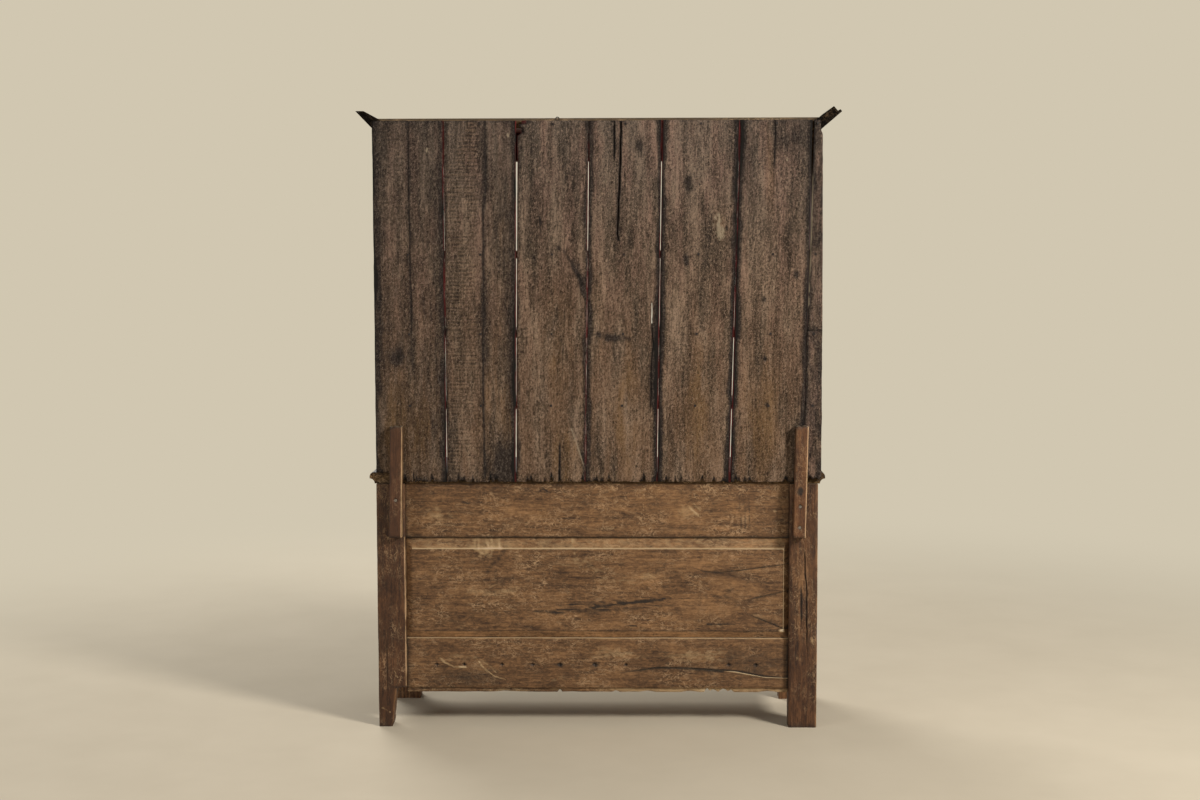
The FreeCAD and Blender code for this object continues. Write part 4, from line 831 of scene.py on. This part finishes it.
def strip_net(number, points):
    """One length of the strip: 0 is the lower one, rotted at its foot, and 1 the upper one."""
    foot, head, low, _ = sides_of(points)
    seed = 750 + 40 * number
    lower = number == 0
    rot = STRIP_ROT * lower
    outer = straight(foot, head, low)

    def outer_edge(z):
        grown = np.interp(z, *zip(*STRIP_GROWN[number]))
        return outer(z) - grown + STRIP_RAGGED[number] * (1 + rough(z / 34, 0, seed)) / 2

    reach = (foot - STRIP_MEETS, head + STRIP_MEETS * lower)
    net = Net(True, reach, (outer_edge, lambda z: joint_edge(BOARDS, z, -1)), STRIP_STEPS, seed)
    net.ends(lambda x: rot + (0.5 + rot / 1.6) * rough(x / 4, 2, seed), None, 40)
    net.wave(1.4, 60, 14)
    net.arris(3.0, 6)
    net.dirt += 0.5 * falling(net.high_side, 5) + 0.42 + 0.3 * rough(net.s / 60, net.t / 20, seed + 3)
    net.dirt += 0.5 * falling(net.start, 8)
    # A pale line along the inner edge: painted light for the slit between the strip and the last board.
    worn = span(net.s, *STRIP_SLIT_LIGHT, STRIP_SLIT_LIGHT_SOFT) * (1.2 + 0.8 * rough(net.s / 30, 0, seed + 4))
    net.pale += worn * hump(net.high_side, STRIP_SLIT_LIGHT_WIDE)
    return net


def back_strip():
    """The narrow strip that closes the boards, in two lengths of unlike width."""
    node = "back_strip"
    lowest, highest = limits(node)
    points = corners_of(node)
    _, lower_head, upper_foot, _ = np.unique(points[points[:, 0] < lowest[0] + STRIP_STEP, 2].round(1))
    lengths = ((lowest[2], lower_head), (upper_foot, highest[2]))
    nets = [strip_net(number, points[(points[:, 2] > foot - 0.5) & (points[:, 2] < head + 0.5)])
            for number, (foot, head) in enumerate(lengths)]
    board_piece(node, BOARD_WOOD, *nets)


back_strip()

POST_IN = limits("back_post_right")[0][0]
JOINT_GAP = 0.8
RAIL_REACH = (-POST_IN + JOINT_GAP, POST_IN - JOINT_GAP)
RAIL_STEPS, SLIP_STEPS, PANEL_STEPS = (6.5, 5.0), (5.0, 3.0), (6.0, 5.0)
POST_STEPS, BATTEN_STEPS = (6.5, 4.5), (6.0, 3.5)


def level(height, bulge=0.0, seed=0):
    """A long edge of a rail at one height, a little wavy."""
    return lambda x: height + bulge * rough(x / 70, 0, seed)


def rail_net(node, seed, splits=(), holes=()):
    """A rail between the back posts, with its holes in one row."""
    low, high = limits(node)
    edges = (level(low[2], 0.5, seed), level(high[2], 0.4, seed + 1))
    return Net(False, RAIL_REACH, edges, RAIL_STEPS, seed, splits, around(holes, 0), around(holes[:1], 1))


def top_rail():
    """The wide upper rail, scratched and nicked."""
    node = "back_top_rail"
    net = rail_net(node, 1200)
    net.wave(0.8, 220, 70, 2)
    net.wave(0.5, 40, 9)
    net.arris(1.6, 5, ends=False)
    # Painted shade along the lower edge, where the rail meets the sunk panel, and at the ends beside the
    # proud posts.
    net.dirt += 0.8 * falling(net.low_side, 5) + 0.45 * falling(np.minimum(net.start, net.end), 6)
    net.draw([
        (DIRT_AND_SHADE, [(183, 757), (171, 768), (157, 757)], 3.2, 0.7), (DIRT_AND_SHADE, [(425, 722), (408, 719)], 3.0, 0.8),
        (PALE, [(-290, 712), (-322, 680)], 3.0, 0.5, 1.0), (PALE, [(-306, 722), (-330, 694)], 2.5, 0.45, 1.0),
        *((DIRT_AND_SHADE, [(x, 742), (x - 6, 640)], 4.0, 0.45) for x in (-452, -466, -480)),
        (PALE, -565, 695, 9, 6, 0.7), (WARM, -250, 690, 220, 60, 0.6), (WARM, 330, 670, 160, 40, 0.35),
        (DIRT_AND_SHADE, 560, 700, 40, 80, 0.25), (PALE, 500, 680, 70, 60, 0.4), (PALE, -280, 690, 60, 36, 0.4),
        (PALE, -40, 640, 150, 22, 0.3)])
    board_piece(node, RAIL_WOOD, net)


SLIP_DROP, SLIP_OVERLAP, SLIP_INSET = 15, 3, (7, 2)
# x, half width and depth of the chips in the slip's edge.
SLIP_CHIPS = [(-352, 9, 13), (-372, 14, 9), (-404, 16, 12), (-428, 8, 8), (-300, 30, 4), (-160, 24, 4),
              (-545, 30, 4), (120, 7, 10), (-60, 10, 6), (300, 40, 3)]
RAIL_HOLES = [(x, 198.5, 3.0) for x in (514, 426, 305, 206, 119, 7, -92, -421, -508)]


def slip_net(top):
    """The chipped slip below the bottom rail."""
    def chipped(x):
        rise = 1.0 + 0.9 * rough(x / 40, 0, 1310)
        for place, wide, deep in SLIP_CHIPS:
            rise = rise + deep * unit(1 - np.abs(x - place) / wide) ** 0.7
        return top - SLIP_DROP + rise

    slip = Net(False, RAIL_REACH, (chipped, level(top + SLIP_OVERLAP)), SLIP_STEPS, 1320)
    slip.wave(1.5, 50, 10)
    slip.arris(1.5, 4, ends=False)
    slip.pale += 0.34 + 0.3 * rough(slip.s / 60, slip.t / 12, 1321) + 0.3 * span(slip.s, -620, 20, 80)
    # Painted shade along the top, under the rail, and darker over the half of high x.
    slip.dirt += 0.5 * falling(slip.high_side, 4) + 0.25 * span(slip.s, 60, 620, 60)
    return slip


def bottom_rail():
    """The wide lower rail, split at one end, with a row of nail holes."""
    node = "back_bottom_rail"
    path = [(-57, 168), (-137, 182), (-194, 189), (-297, 187), (-441, 177), (-537, 159), (-640, 155)]
    net = rail_net(node, 1300, [Split(path, 1.0, 9, stain_reach=2.6, soft=120, lip=(-640, -400))], RAIL_HOLES)
    net.wave(0.9, 180, 60, 2)
    net.wave(0.6, 36, 9)
    net.arris(2.0, 6, ends=False)
    # Painted shade at the ends, beside the proud posts.
    net.dirt += 0.5 * falling(np.minimum(net.start, net.end), 7)
    # A painted highlight along the top edge.
    net.pale += 0.8 * falling(net.high_side, 3.5)
    net.pale += 0.5 * falling(net.low_side, 4) * span(net.s, -625, -160, 60)
    for hole in RAIL_HOLES:
        net.pit(*hole, NAIL_HOLE_DEPTH)
    net.draw([
        (PALE, [(508, 224), (488, 204), (462, 192), (420, 190)], 2.6, 0.62, 0.9),
        (PALE, [(378, 206), (358, 180), (330, 160), (296, 150)], 2.6, 0.62, 0.9),
        (PALE, [(372, 214), (340, 188), (322, 170)], 2.2, 0.55, 0.9),
        (DIRT_AND_SHADE, 119, 198, 9, 7, 0.6), (DIRT_AND_SHADE, 7, 197, 9, 7, 0.6), (PALE, -30, 235, 130, 30, 0.44),
        (PALE, -330, 230, 170, 34, 0.4), (PALE, 440, 215, 110, 40, 0.34), (PALE, 120, 150, 120, 18, 0.34),
        (WARM, -120, 250, 260, 26, 0.3), (DIRT_AND_SHADE, 420, 160, 150, 30, 0.3), (DIRT_AND_SHADE, -480, 200, 130, 50, 0.22)])
    net.dirt += 0.15
    board_piece(node, RAIL_WOOD, net, slip_net(limits(node)[0][2]), insets=((0, 0), SLIP_INSET))


VEIN = [(301, 392), (215, 377), (119, 379), (23, 383), (-73, 395), (-201, 409), (-335, 409)]
VEIN_LINES, VEIN_PITCH = 11, 5.5


def vein():
    """A band of dark wavy grain: short lines side by side, strongest along the middle one."""
    random = np.random.RandomState(1440)
    for number in range(VEIN_LINES * 3):
        line = number % VEIN_LINES - VEIN_LINES // 2
        first = random.randint(0, len(VEIN) - 2)
        last = min(first + random.randint(2, 4), len(VEIN))
        lift = line * VEIN_PITCH + random.uniform(-2, 2)
        path = [(x + random.uniform(-20, 20), z + lift + random.uniform(-2.5, 2.5))
                for x, z in VEIN[first:last]]
        yield DIRT_AND_SHADE, path, random.uniform(1.6, 3.0), 0.24 * hump(line, 3.2) + 0.1, 1.4


BEVELS = dict(left=21.0, right=16.0, top=36.0, bottom=23.0)
PANEL_SINK, PANEL_UNDER = 7.0, 4.0
# How much painted highlight and painted shade each side's arris between bevel and field gets.
ARRIS_LIGHT_AND_SHADE = dict(top=(1.0, 0.0), right=(0.9, 0.0), left=(0.15, 0.2), bottom=(0.0, 0.45))
# x, foot and strength of the scrapes down from the panel's top.
SCRAPES = [(392, 560, 0.4), (380, 548, 0.5), (352, 575, 0.45), (338, 556, 0.5), (314, 570, 0.4),
           (78, 540, 0.45)]


def back_panel():
    """The raised panel: a sunk bevel round a field, split along its grain."""
    node = "back_panel"
    z_low, z_high = limits("back_bottom_rail")[1][2], limits("back_top_rail")[0][2]
    field_x = (-POST_IN + BEVELS["right"], POST_IN - BEVELS["left"])
    field_low, field_high = z_low + BEVELS["bottom"], z_high - BEVELS["top"]
    splits = [
        Split([(-285, 520), (-344, 500), (-392, 498), (-471, 506), (-550, 517), (-640, 530)], 0.8, 6, 0.6,
              2.5, 60),
        Split([(-449, 402), (-519, 419), (-640, 444)], 0.7, 6, 0.6, 2.5, 60),
        Split([(-472, 367), (-536, 340), (-590, 317), (-640, 315)], 0.9, 6, 0.7, 3, 40),
    ]
    net = Net(False, (-POST_IN - PANEL_UNDER, POST_IN + PANEL_UNDER),
              (level(z_low - PANEL_UNDER), level(z_high + PANEL_UNDER)), PANEL_STEPS, 1400, splits,
              rows=[x + step for x in field_x for step in (-2, 0, 2)],
              lines=[field_low, *(field_high + step for step in (-2, 0, 2))])
    sides = dict(left=net.end, right=net.start, top=net.high_side, bottom=net.low_side)
    shares = {side: (away - PANEL_UNDER) / BEVELS[side] for side, away in sides.items()}
    share = np.minimum.reduce(list(shares.values()))
    rim = np.minimum.reduce(list(sides.values())) - PANEL_UNDER
    net.depth += PANEL_SINK * np.clip(1 - share, 0, 1.2)
    net.depth += 0.5 * (unit(share) > 0.99) * (1 + rough(net.s / 160, net.t / 60, 1402, 2))
    net.wave(0.5, 30, 8)
    # Painted highlights, strongest on the top and right arrises, and painted shade, strongest on the bottom
    # and left ones.
    for side, (pale, grime_and_shade) in ARRIS_LIGHT_AND_SHADE.items():
        here = hump(sides[side] - PANEL_UNDER - BEVELS[side], 1.8) * (shares[side] < share + 0.08)
        net.pale += pale * here
        net.dirt += grime_and_shade * here
    on_top, on_bottom = ((shares[side] < 1) & (shares[side] <= share + 1e-6) for side in ("top", "bottom"))
    net.pale += 0.38 * on_top
    net.warm += 0.4 * on_top
    net.warm += 0.8 * on_bottom
    # Painted shade along the rim, where the panel goes under the frame.
    net.dirt += 0.6 * falling(np.clip(rim, 0, None), 3)
    net.draw([(PALE, [(x, 606), (x - 5, foot)], 3.5, amount * 0.5, 2.0) for x, foot, amount in SCRAPES])
    net.draw([(PALE, 350, 560, 46, 28, 0.46, 1.2),
              (DIRT_AND_SHADE, [(292, 575), (312, 545), (338, 515), (350, 500)], 9, 0.4)])
    net.draw(vein())
    net.draw([
        (DIRT_AND_SHADE, [(-351, 331), (-440, 331)], 3.4, 0.8), (DIRT_AND_SHADE, [(-96, 325), (-124, 325)], 3.0, 0.7),
        (PALE, -588, 310, 8, 5, 1.3), (DIRT_AND_SHADE, [(-350, 425), (-420, 412), (-452, 400)], 7.0, 0.35, 0.9),
        (DIRT_AND_SHADE, -430, 440, 30, 26, 0.35), (DIRT_AND_SHADE, 60, 375, 130, 12, 0.35), (WARM, -250, 450, 240, 90, 0.6),
        (WARM, 150, 330, 260, 40, 0.5), (PALE, 340, 440, 170, 28, 0.42), (PALE, 60, 530, 90, 40, 0.36),
        (PALE, -110, 480, 170, 40, 0.38), (PALE, -520, 360, 70, 34, 0.3), (PALE, 420, 330, 130, 30, 0.3),
        (DIRT_AND_SHADE, 480, 470, 120, 90, 0.12)])
    board_piece(node, RAIL_WOOD, net)


LIT_EDGE, LIT_WIDE = 1.6, 1.7
ROT_HIGH, ROT_FOOT_X, ROT_TAPER = 126, 656, 14
Post = namedtuple("Post", "node seed set_in lit splits marks")
ROTTED_POST = Post("back_post_right", 1500, 0.0, 1.25, [Split([(672, 300), (670, 90)], 0.6, 5, stain=0.5)],
                   [(PALE, [(648, 182), (640, 160)], 3, 0.7), (PALE, [(690, 62), (664, 48)], 3, 0.6)])
SPLIT_POST = Post("back_post_left", 1600, 0.5, 0.4,
                  [Split([(-655, 600), (-662, 490), (-667, 409), (-667, 280), (-670, 225)], 1.3, 14, 0.7, 3,
                         60, 2.4),
                   Split([(-648, 470), (-650, 330)], 0.7, 7)],
                  [(PALE, -682, 285, 8, 24, 0.5), (PALE, -636, 225, 4, 5, 0.9),
                   (PALE, -672, 160, 22, 60, 0.25), (WARM, -655, 420, 30, 120, 0.6)])


def back_post(post):
    """A back post, with its foot rotted away on its inner side or with deep splits."""
    low, high = limits(post.node)
    seed, rotted = post.seed, post is ROTTED_POST

    def low_edge(z):
        sound = low[0] + post.set_in + 0.5 * rough(z / 60, 0, seed)
        if not rotted:
            return sound
        worn = ROT_FOOT_X - ROT_TAPER * np.clip(z, 0, ROT_HIGH) / ROT_HIGH + 2.5 * rough(z / 14, 3, seed + 3)
        return np.where(z < ROT_HIGH + 1, worn, sound)

    edges = (low_edge, lambda z: high[0] + 0.5 * rough(z / 60, 1, seed) - 0.5)
    net = Net(True, (low[2], high[2]), edges, POST_STEPS, seed, post.splits,
              rows=[ROT_HIGH - 0.5, ROT_HIGH + 2.5])
    net.wave(1.1, 160, 40, 2)
    net.wave(0.5, 26, 7)
    net.arris(3.2, 7, ends=False)
    # A painted highlight along the edge of low x: pale between the rot and the battens, and warm all along.
    bright = hump(net.low_side - LIT_EDGE, LIT_WIDE) * (0.85 + 0.6 * rough(net.s / 40, 0, seed + 7))
    net.pale += post.lit * bright * (net.s > ROT_HIGH + 4) * (net.s < limits("batten_right")[0][2])
    net.warm += bright
    net.dirt += 0.5 * falling(net.start, 22)
    net.draw(post.marks)
    if rotted:
        net.dirt += 0.5 * falling(np.abs(net.s - ROT_HIGH - 2), 6) * (net.t < ROT_FOOT_X + 6)
    board_piece(post.node, POST_WOOD, net)


SINK_RADIUS, SINK_DEPTH = 4.6, 6
SINK_STEPS = (-1, -0.5, 0, 0.5, 1)
BATTEN_MARKS = {
    "batten_left": [(DIRT_AND_SHADE, -641, 765, 11, 14, 0.9), (WARM, -640, 860, 14, 70, 0.7)],
    "batten_right": [],
}


def screw_places():
    """x and z of the screws through the battens, from their heads."""
    points = corners_of("batten_screws")
    heads = points[points[:, 1] > points[:, 1].max() - 0.1]
    heads = heads[np.argsort(heads[:, 2])]
    groups = np.split(heads, np.nonzero(np.diff(heads[:, 2]) > 2 * SINK_RADIUS)[0] + 1)
    return [((group.min(0) + group.max(0)) / 2)[[0, 2]] for group in groups]


def batten(node, seed):
    """One of the two newer battens that tie the rack to the buffet."""
    foot, head, low, high = sides_of(corners_of(node), 3)
    x_low, x_high = min(low), max(high)
    holes = [(x, z, SINK_RADIUS) for x, z in screw_places() if x_low < x < x_high]
    edges = (straight(foot, head, low), straight(foot, head, high))
    net = Net(True, (foot + 1, head - 5), edges, BATTEN_STEPS, seed,
              rows=around(holes, 1, SINK_STEPS), lines=around(holes[:1], 0, SINK_STEPS))
    net.ends(None, lambda x: 3.5 * rough(x / 7, 0, seed + 2))
    net.wave(0.6, 90, 16, 2)
    net.arris(1.8, 4)
    # A painted highlight along the edge of low x, painted shade along the edge of high x, and darker towards
    # the ends.
    bright = hump(net.low_side - LIT_EDGE, LIT_WIDE) * (0.9 + 0.4 * rough(net.s / 30, 0, seed + 5))
    net.pale += 1.2 * bright
    net.warm += bright
    net.dirt += 0.3 * falling(net.high_side, 5) + 0.5 * falling(np.minimum(net.start, net.end), 7)
    for hole in holes:
        net.pit(*hole, SINK_DEPTH)
    net.draw(BATTEN_MARKS[node])
    board_piece(node, BATTEN_WOOD[node], net)


top_rail()
bottom_rail()
back_panel()
back_post(ROTTED_POST)
back_post(SPLIT_POST)
batten("batten_left", 1700)
batten("batten_right", 1800)


def timbers(bm):
    """The separate timbers of a mesh, as lists of faces joined by edges of two faces."""
    seen = set()
    for start in list(bm.faces):
        if start in seen:
            continue
        seen.add(start)
        group, queue = [], [start]
        while queue:
            face = queue.pop()
            group.append(face)
            for edge in face.edges:
                for other in edge.link_faces if len(edge.link_faces) == 2 else ():
                    if other not in seen:
                        seen.add(other)
                        queue.append(other)
        yield group


# How far in, above what size of face, and how strongly face borders are darkened with soiling and painted
# shade.
RIM_DARK_REACH, RIM_DARK_LEAST, RIM_GRIME_AND_SHADE = 9, 24, 0.42


def rim_grime_and_shade(bm):
    """Darkens the borders of the wide four-sided faces: soiling together with painted shade of their corners.
    """
    layer = bm.verts.layers.float_color.new("marks")

    def mark(vertices, dirt):
        for vertex in vertices:
            vertex[layer] = (dirt, 0, 0, 0)

    mark(bm.verts, 0)
    wide = [face for face in bm.faces
            if len(face.verts) == 4 and min(edge.calc_length() for edge in face.edges) > RIM_DARK_LEAST * MM]
    for face in wide:
        mark(face.verts, RIM_GRIME_AND_SHADE)
    bmesh.ops.inset_individual(bm, faces=wide, thickness=RIM_DARK_REACH * MM, use_even_offset=True)
    for face in wide:
        mark(face.verts, 0)


DARK_NODES = {"cornice_front", "cornice_left", "cornice_right", "cornice_bead", "buffet_top"}
ROUND_OVER = {"frame_wood": 1.8, "inner_wood": 1.2, "painted_wood": 2.0}
BARE_AT = limits("back_board_1")[0][1] - 1
BARE_ABOVE = limits("back_board_1")[1][2] - 60
SAME_POINT, SAME_PLANE, CORNER_ANGLE, AGED_SHARP = 2e-5, math.radians(1.5), math.radians(32), 38


def aged(node, slot):
    """A copy of a CAD node with rounded, rubbed corners and the grain along each timber."""
    woods = DARK_WOOD if node in DARK_NODES else WOODS[slot]
    bm = bmesh.new()
    bm.from_mesh(frame["nodes"][node].data)
    bmesh.ops.remove_doubles(bm, verts=bm.verts, dist=SAME_POINT)
    for group in list(timbers(bm)):
        places = np.array([vertex.co for face in group for vertex in face.verts])
        axis = int(np.argmax(places.max(0) - places.min(0)))
        for face in group:
            face.material_index = axis
        bmesh.ops.split(bm, geom=group)
    bmesh.ops.dissolve_limit(bm, angle_limit=SAME_PLANE, verts=bm.verts, edges=bm.edges, delimit={"MATERIAL"})
    for axis in range(3):
        corners = [edge for edge in bm.edges if len(edge.link_faces) == 2 and edge.is_convex
                   and edge.link_faces[0].material_index == axis and edge.calc_face_angle() > CORNER_ANGLE]
        if corners:
            bmesh.ops.bevel(bm, geom=corners, offset=ROUND_OVER[slot] * MM, offset_type="OFFSET",
                            segments=2, profile=0.6, affect="EDGES", clamp_overlap=True,
                            loop_slide=True, material=axis + 3)
    rim_grime_and_shade(bm)
    bare, sooty = len(woods), len(woods) + 1
    for face in bm.faces:
        middle = face.calc_center_median()
        behind = face.normal.y > 0.9 and middle.y > BARE_AT * MM
        above = middle.z > BARE_ABOVE * MM
        if woods is DARK_WOOD and above and (behind or face.normal.z > 0.3):
            face.material_index = bare if node == "cornice_front" else sooty
        elif woods is not WOODS["frame_wood"] and (behind or above and face.normal.z > 0.9):
            face.material_index = bare
    stand_for(finish_mesh(bm, node, AGED_SHARP), node, [*woods, BARE_WOOD, SOOTY_WOOD])


BUILT = {name[len("aged_"):] for name in bpy.data.objects.keys() if name.startswith("aged_")}
for node, thing in frame["nodes"].items():
    if node in BUILT:
        continue
    slot = SLOT_OF[node]
    if slot in WOODS:
        aged(node, slot)
    else:
        metal = STEEL if node == "batten_screws" else IRON
        thing.data.materials.clear()
        thing.data.materials.append(metal if slot == "iron" else KNOB_WOOD)

CREAM, PALE_FLOOR, FLOOR_SHADE = tone(209, 199, 177), tone(205, 194, 173), tone(200, 189, 168)
# Metres: the floor's radius, and the distances over which it fades into the background.
GROUND_REACH, GROUND_FADE = 26.0, (1.0, 4.8)
SKY_COLOUR, SKY_STRENGTH = (1.0, 0.985, 0.96, 1.0), 0.25


def ground():
    """A plain pale floor that fades into the background far from the object."""
    bm = bmesh.new()
    bmesh.ops.create_circle(bm, cap_ends=True, segments=96, radius=GROUND_REACH)
    mesh = bpy.data.meshes.new("ground")
    bm.to_mesh(mesh)
    bm.free()
    tree = Surface("pale_floor")
    tree.colour = tree.ramp(tree.noise(tree.object, 3, 3, 3), (0.3, 0.7), (FLOOR_SHADE, PALE_FLOOR))
    mesh.materials.append(tree.finish(0.9, 0.1))
    away = tree.make("VectorMath", {0: tree.object}, "Value", operation="LENGTH")
    far = tree.fit(away, *GROUND_FADE)
    far.node.interpolation_type = "SMOOTHERSTEP"
    glow = tree.make("Emission", {"Color": CREAM})
    share = tree.times(far, tree.seen())
    tree.put(tree.output, tree.make("MixShader", {0: share, 1: tree.shader.outputs[0], 2: glow}))
    new_object("ground", mesh)


def sky():
    """Soft light from all round, behind a plain background."""
    world = bpy.data.worlds.new("studio")
    bpy.context.scene.world = world
    tree = Tree(world, "World")
    soft = tree.make("Background", {"Color": SKY_COLOUR, "Strength": SKY_STRENGTH})
    shown = tree.make("Background", {"Color": CREAM})
    tree.put(tree.output, tree.make("MixShader", {0: tree.seen(), 1: soft, 2: shown}))


def lamp(name, place, aim, size, power, colour):
    """A round soft lamp that looks at a point."""
    light = bpy.data.lights.new(name, "AREA")
    light.shape, light.size, light.energy, light.color = "DISK", size, power, colour
    holder = new_object(name, light)
    holder.location = place
    holder.rotation_mode = "QUATERNION"
    holder.rotation_quaternion = (Vector(aim) - Vector(place)).to_track_quat("-Z", "Y")


LENS, SENSOR = 52.5, 36.0
CAMERA_PLACE = Vector((-0.1068, 5.7015, 1.5162))
CAMERA_PITCH, CAMERA_YAW, CAMERA_ROLL = (math.radians(angle) for angle in (4.8452, -1.0005, -0.1186))


def camera():
    """The photograph's view: from behind, a little above the middle."""
    data = bpy.data.cameras.new("photo_view")
    data.lens, data.sensor_width = LENS, SENSOR
    level_share = math.cos(CAMERA_PITCH)
    ahead = Vector((-math.sin(CAMERA_YAW) * level_share, -math.cos(CAMERA_YAW) * level_share,
                    -math.sin(CAMERA_PITCH)))
    right = ahead.cross(Vector((0, 0, 1))).normalized()
    up = right.cross(ahead)
    right, up = (math.cos(CAMERA_ROLL) * right + math.sin(CAMERA_ROLL) * up,
                 math.cos(CAMERA_ROLL) * up - math.sin(CAMERA_ROLL) * right)
    view = new_object("photo_view", data)
    view.matrix_world = Matrix.Translation(CAMERA_PLACE) @ Matrix((right, up, -ahead)).transposed().to_4x4()
    bpy.context.scene.camera = view


ground()
sky()
lamp("key", (-4.3, 3.9, 3.9), (0.0, 0.1, 1.0), 1.5, 380, (1.0, 0.96, 0.9))
lamp("fill", (2.6, -4.6, 4.2), (0.0, -0.1, 0.9), 3.4, 230, (1.0, 0.98, 0.95))
lamp("side", (4.6, 3.6, 2.2), (0.0, 0.1, 1.0), 3.0, 60, (1.0, 0.98, 0.96))
camera()
bpy.context.scene.view_settings.view_transform = "Standard"
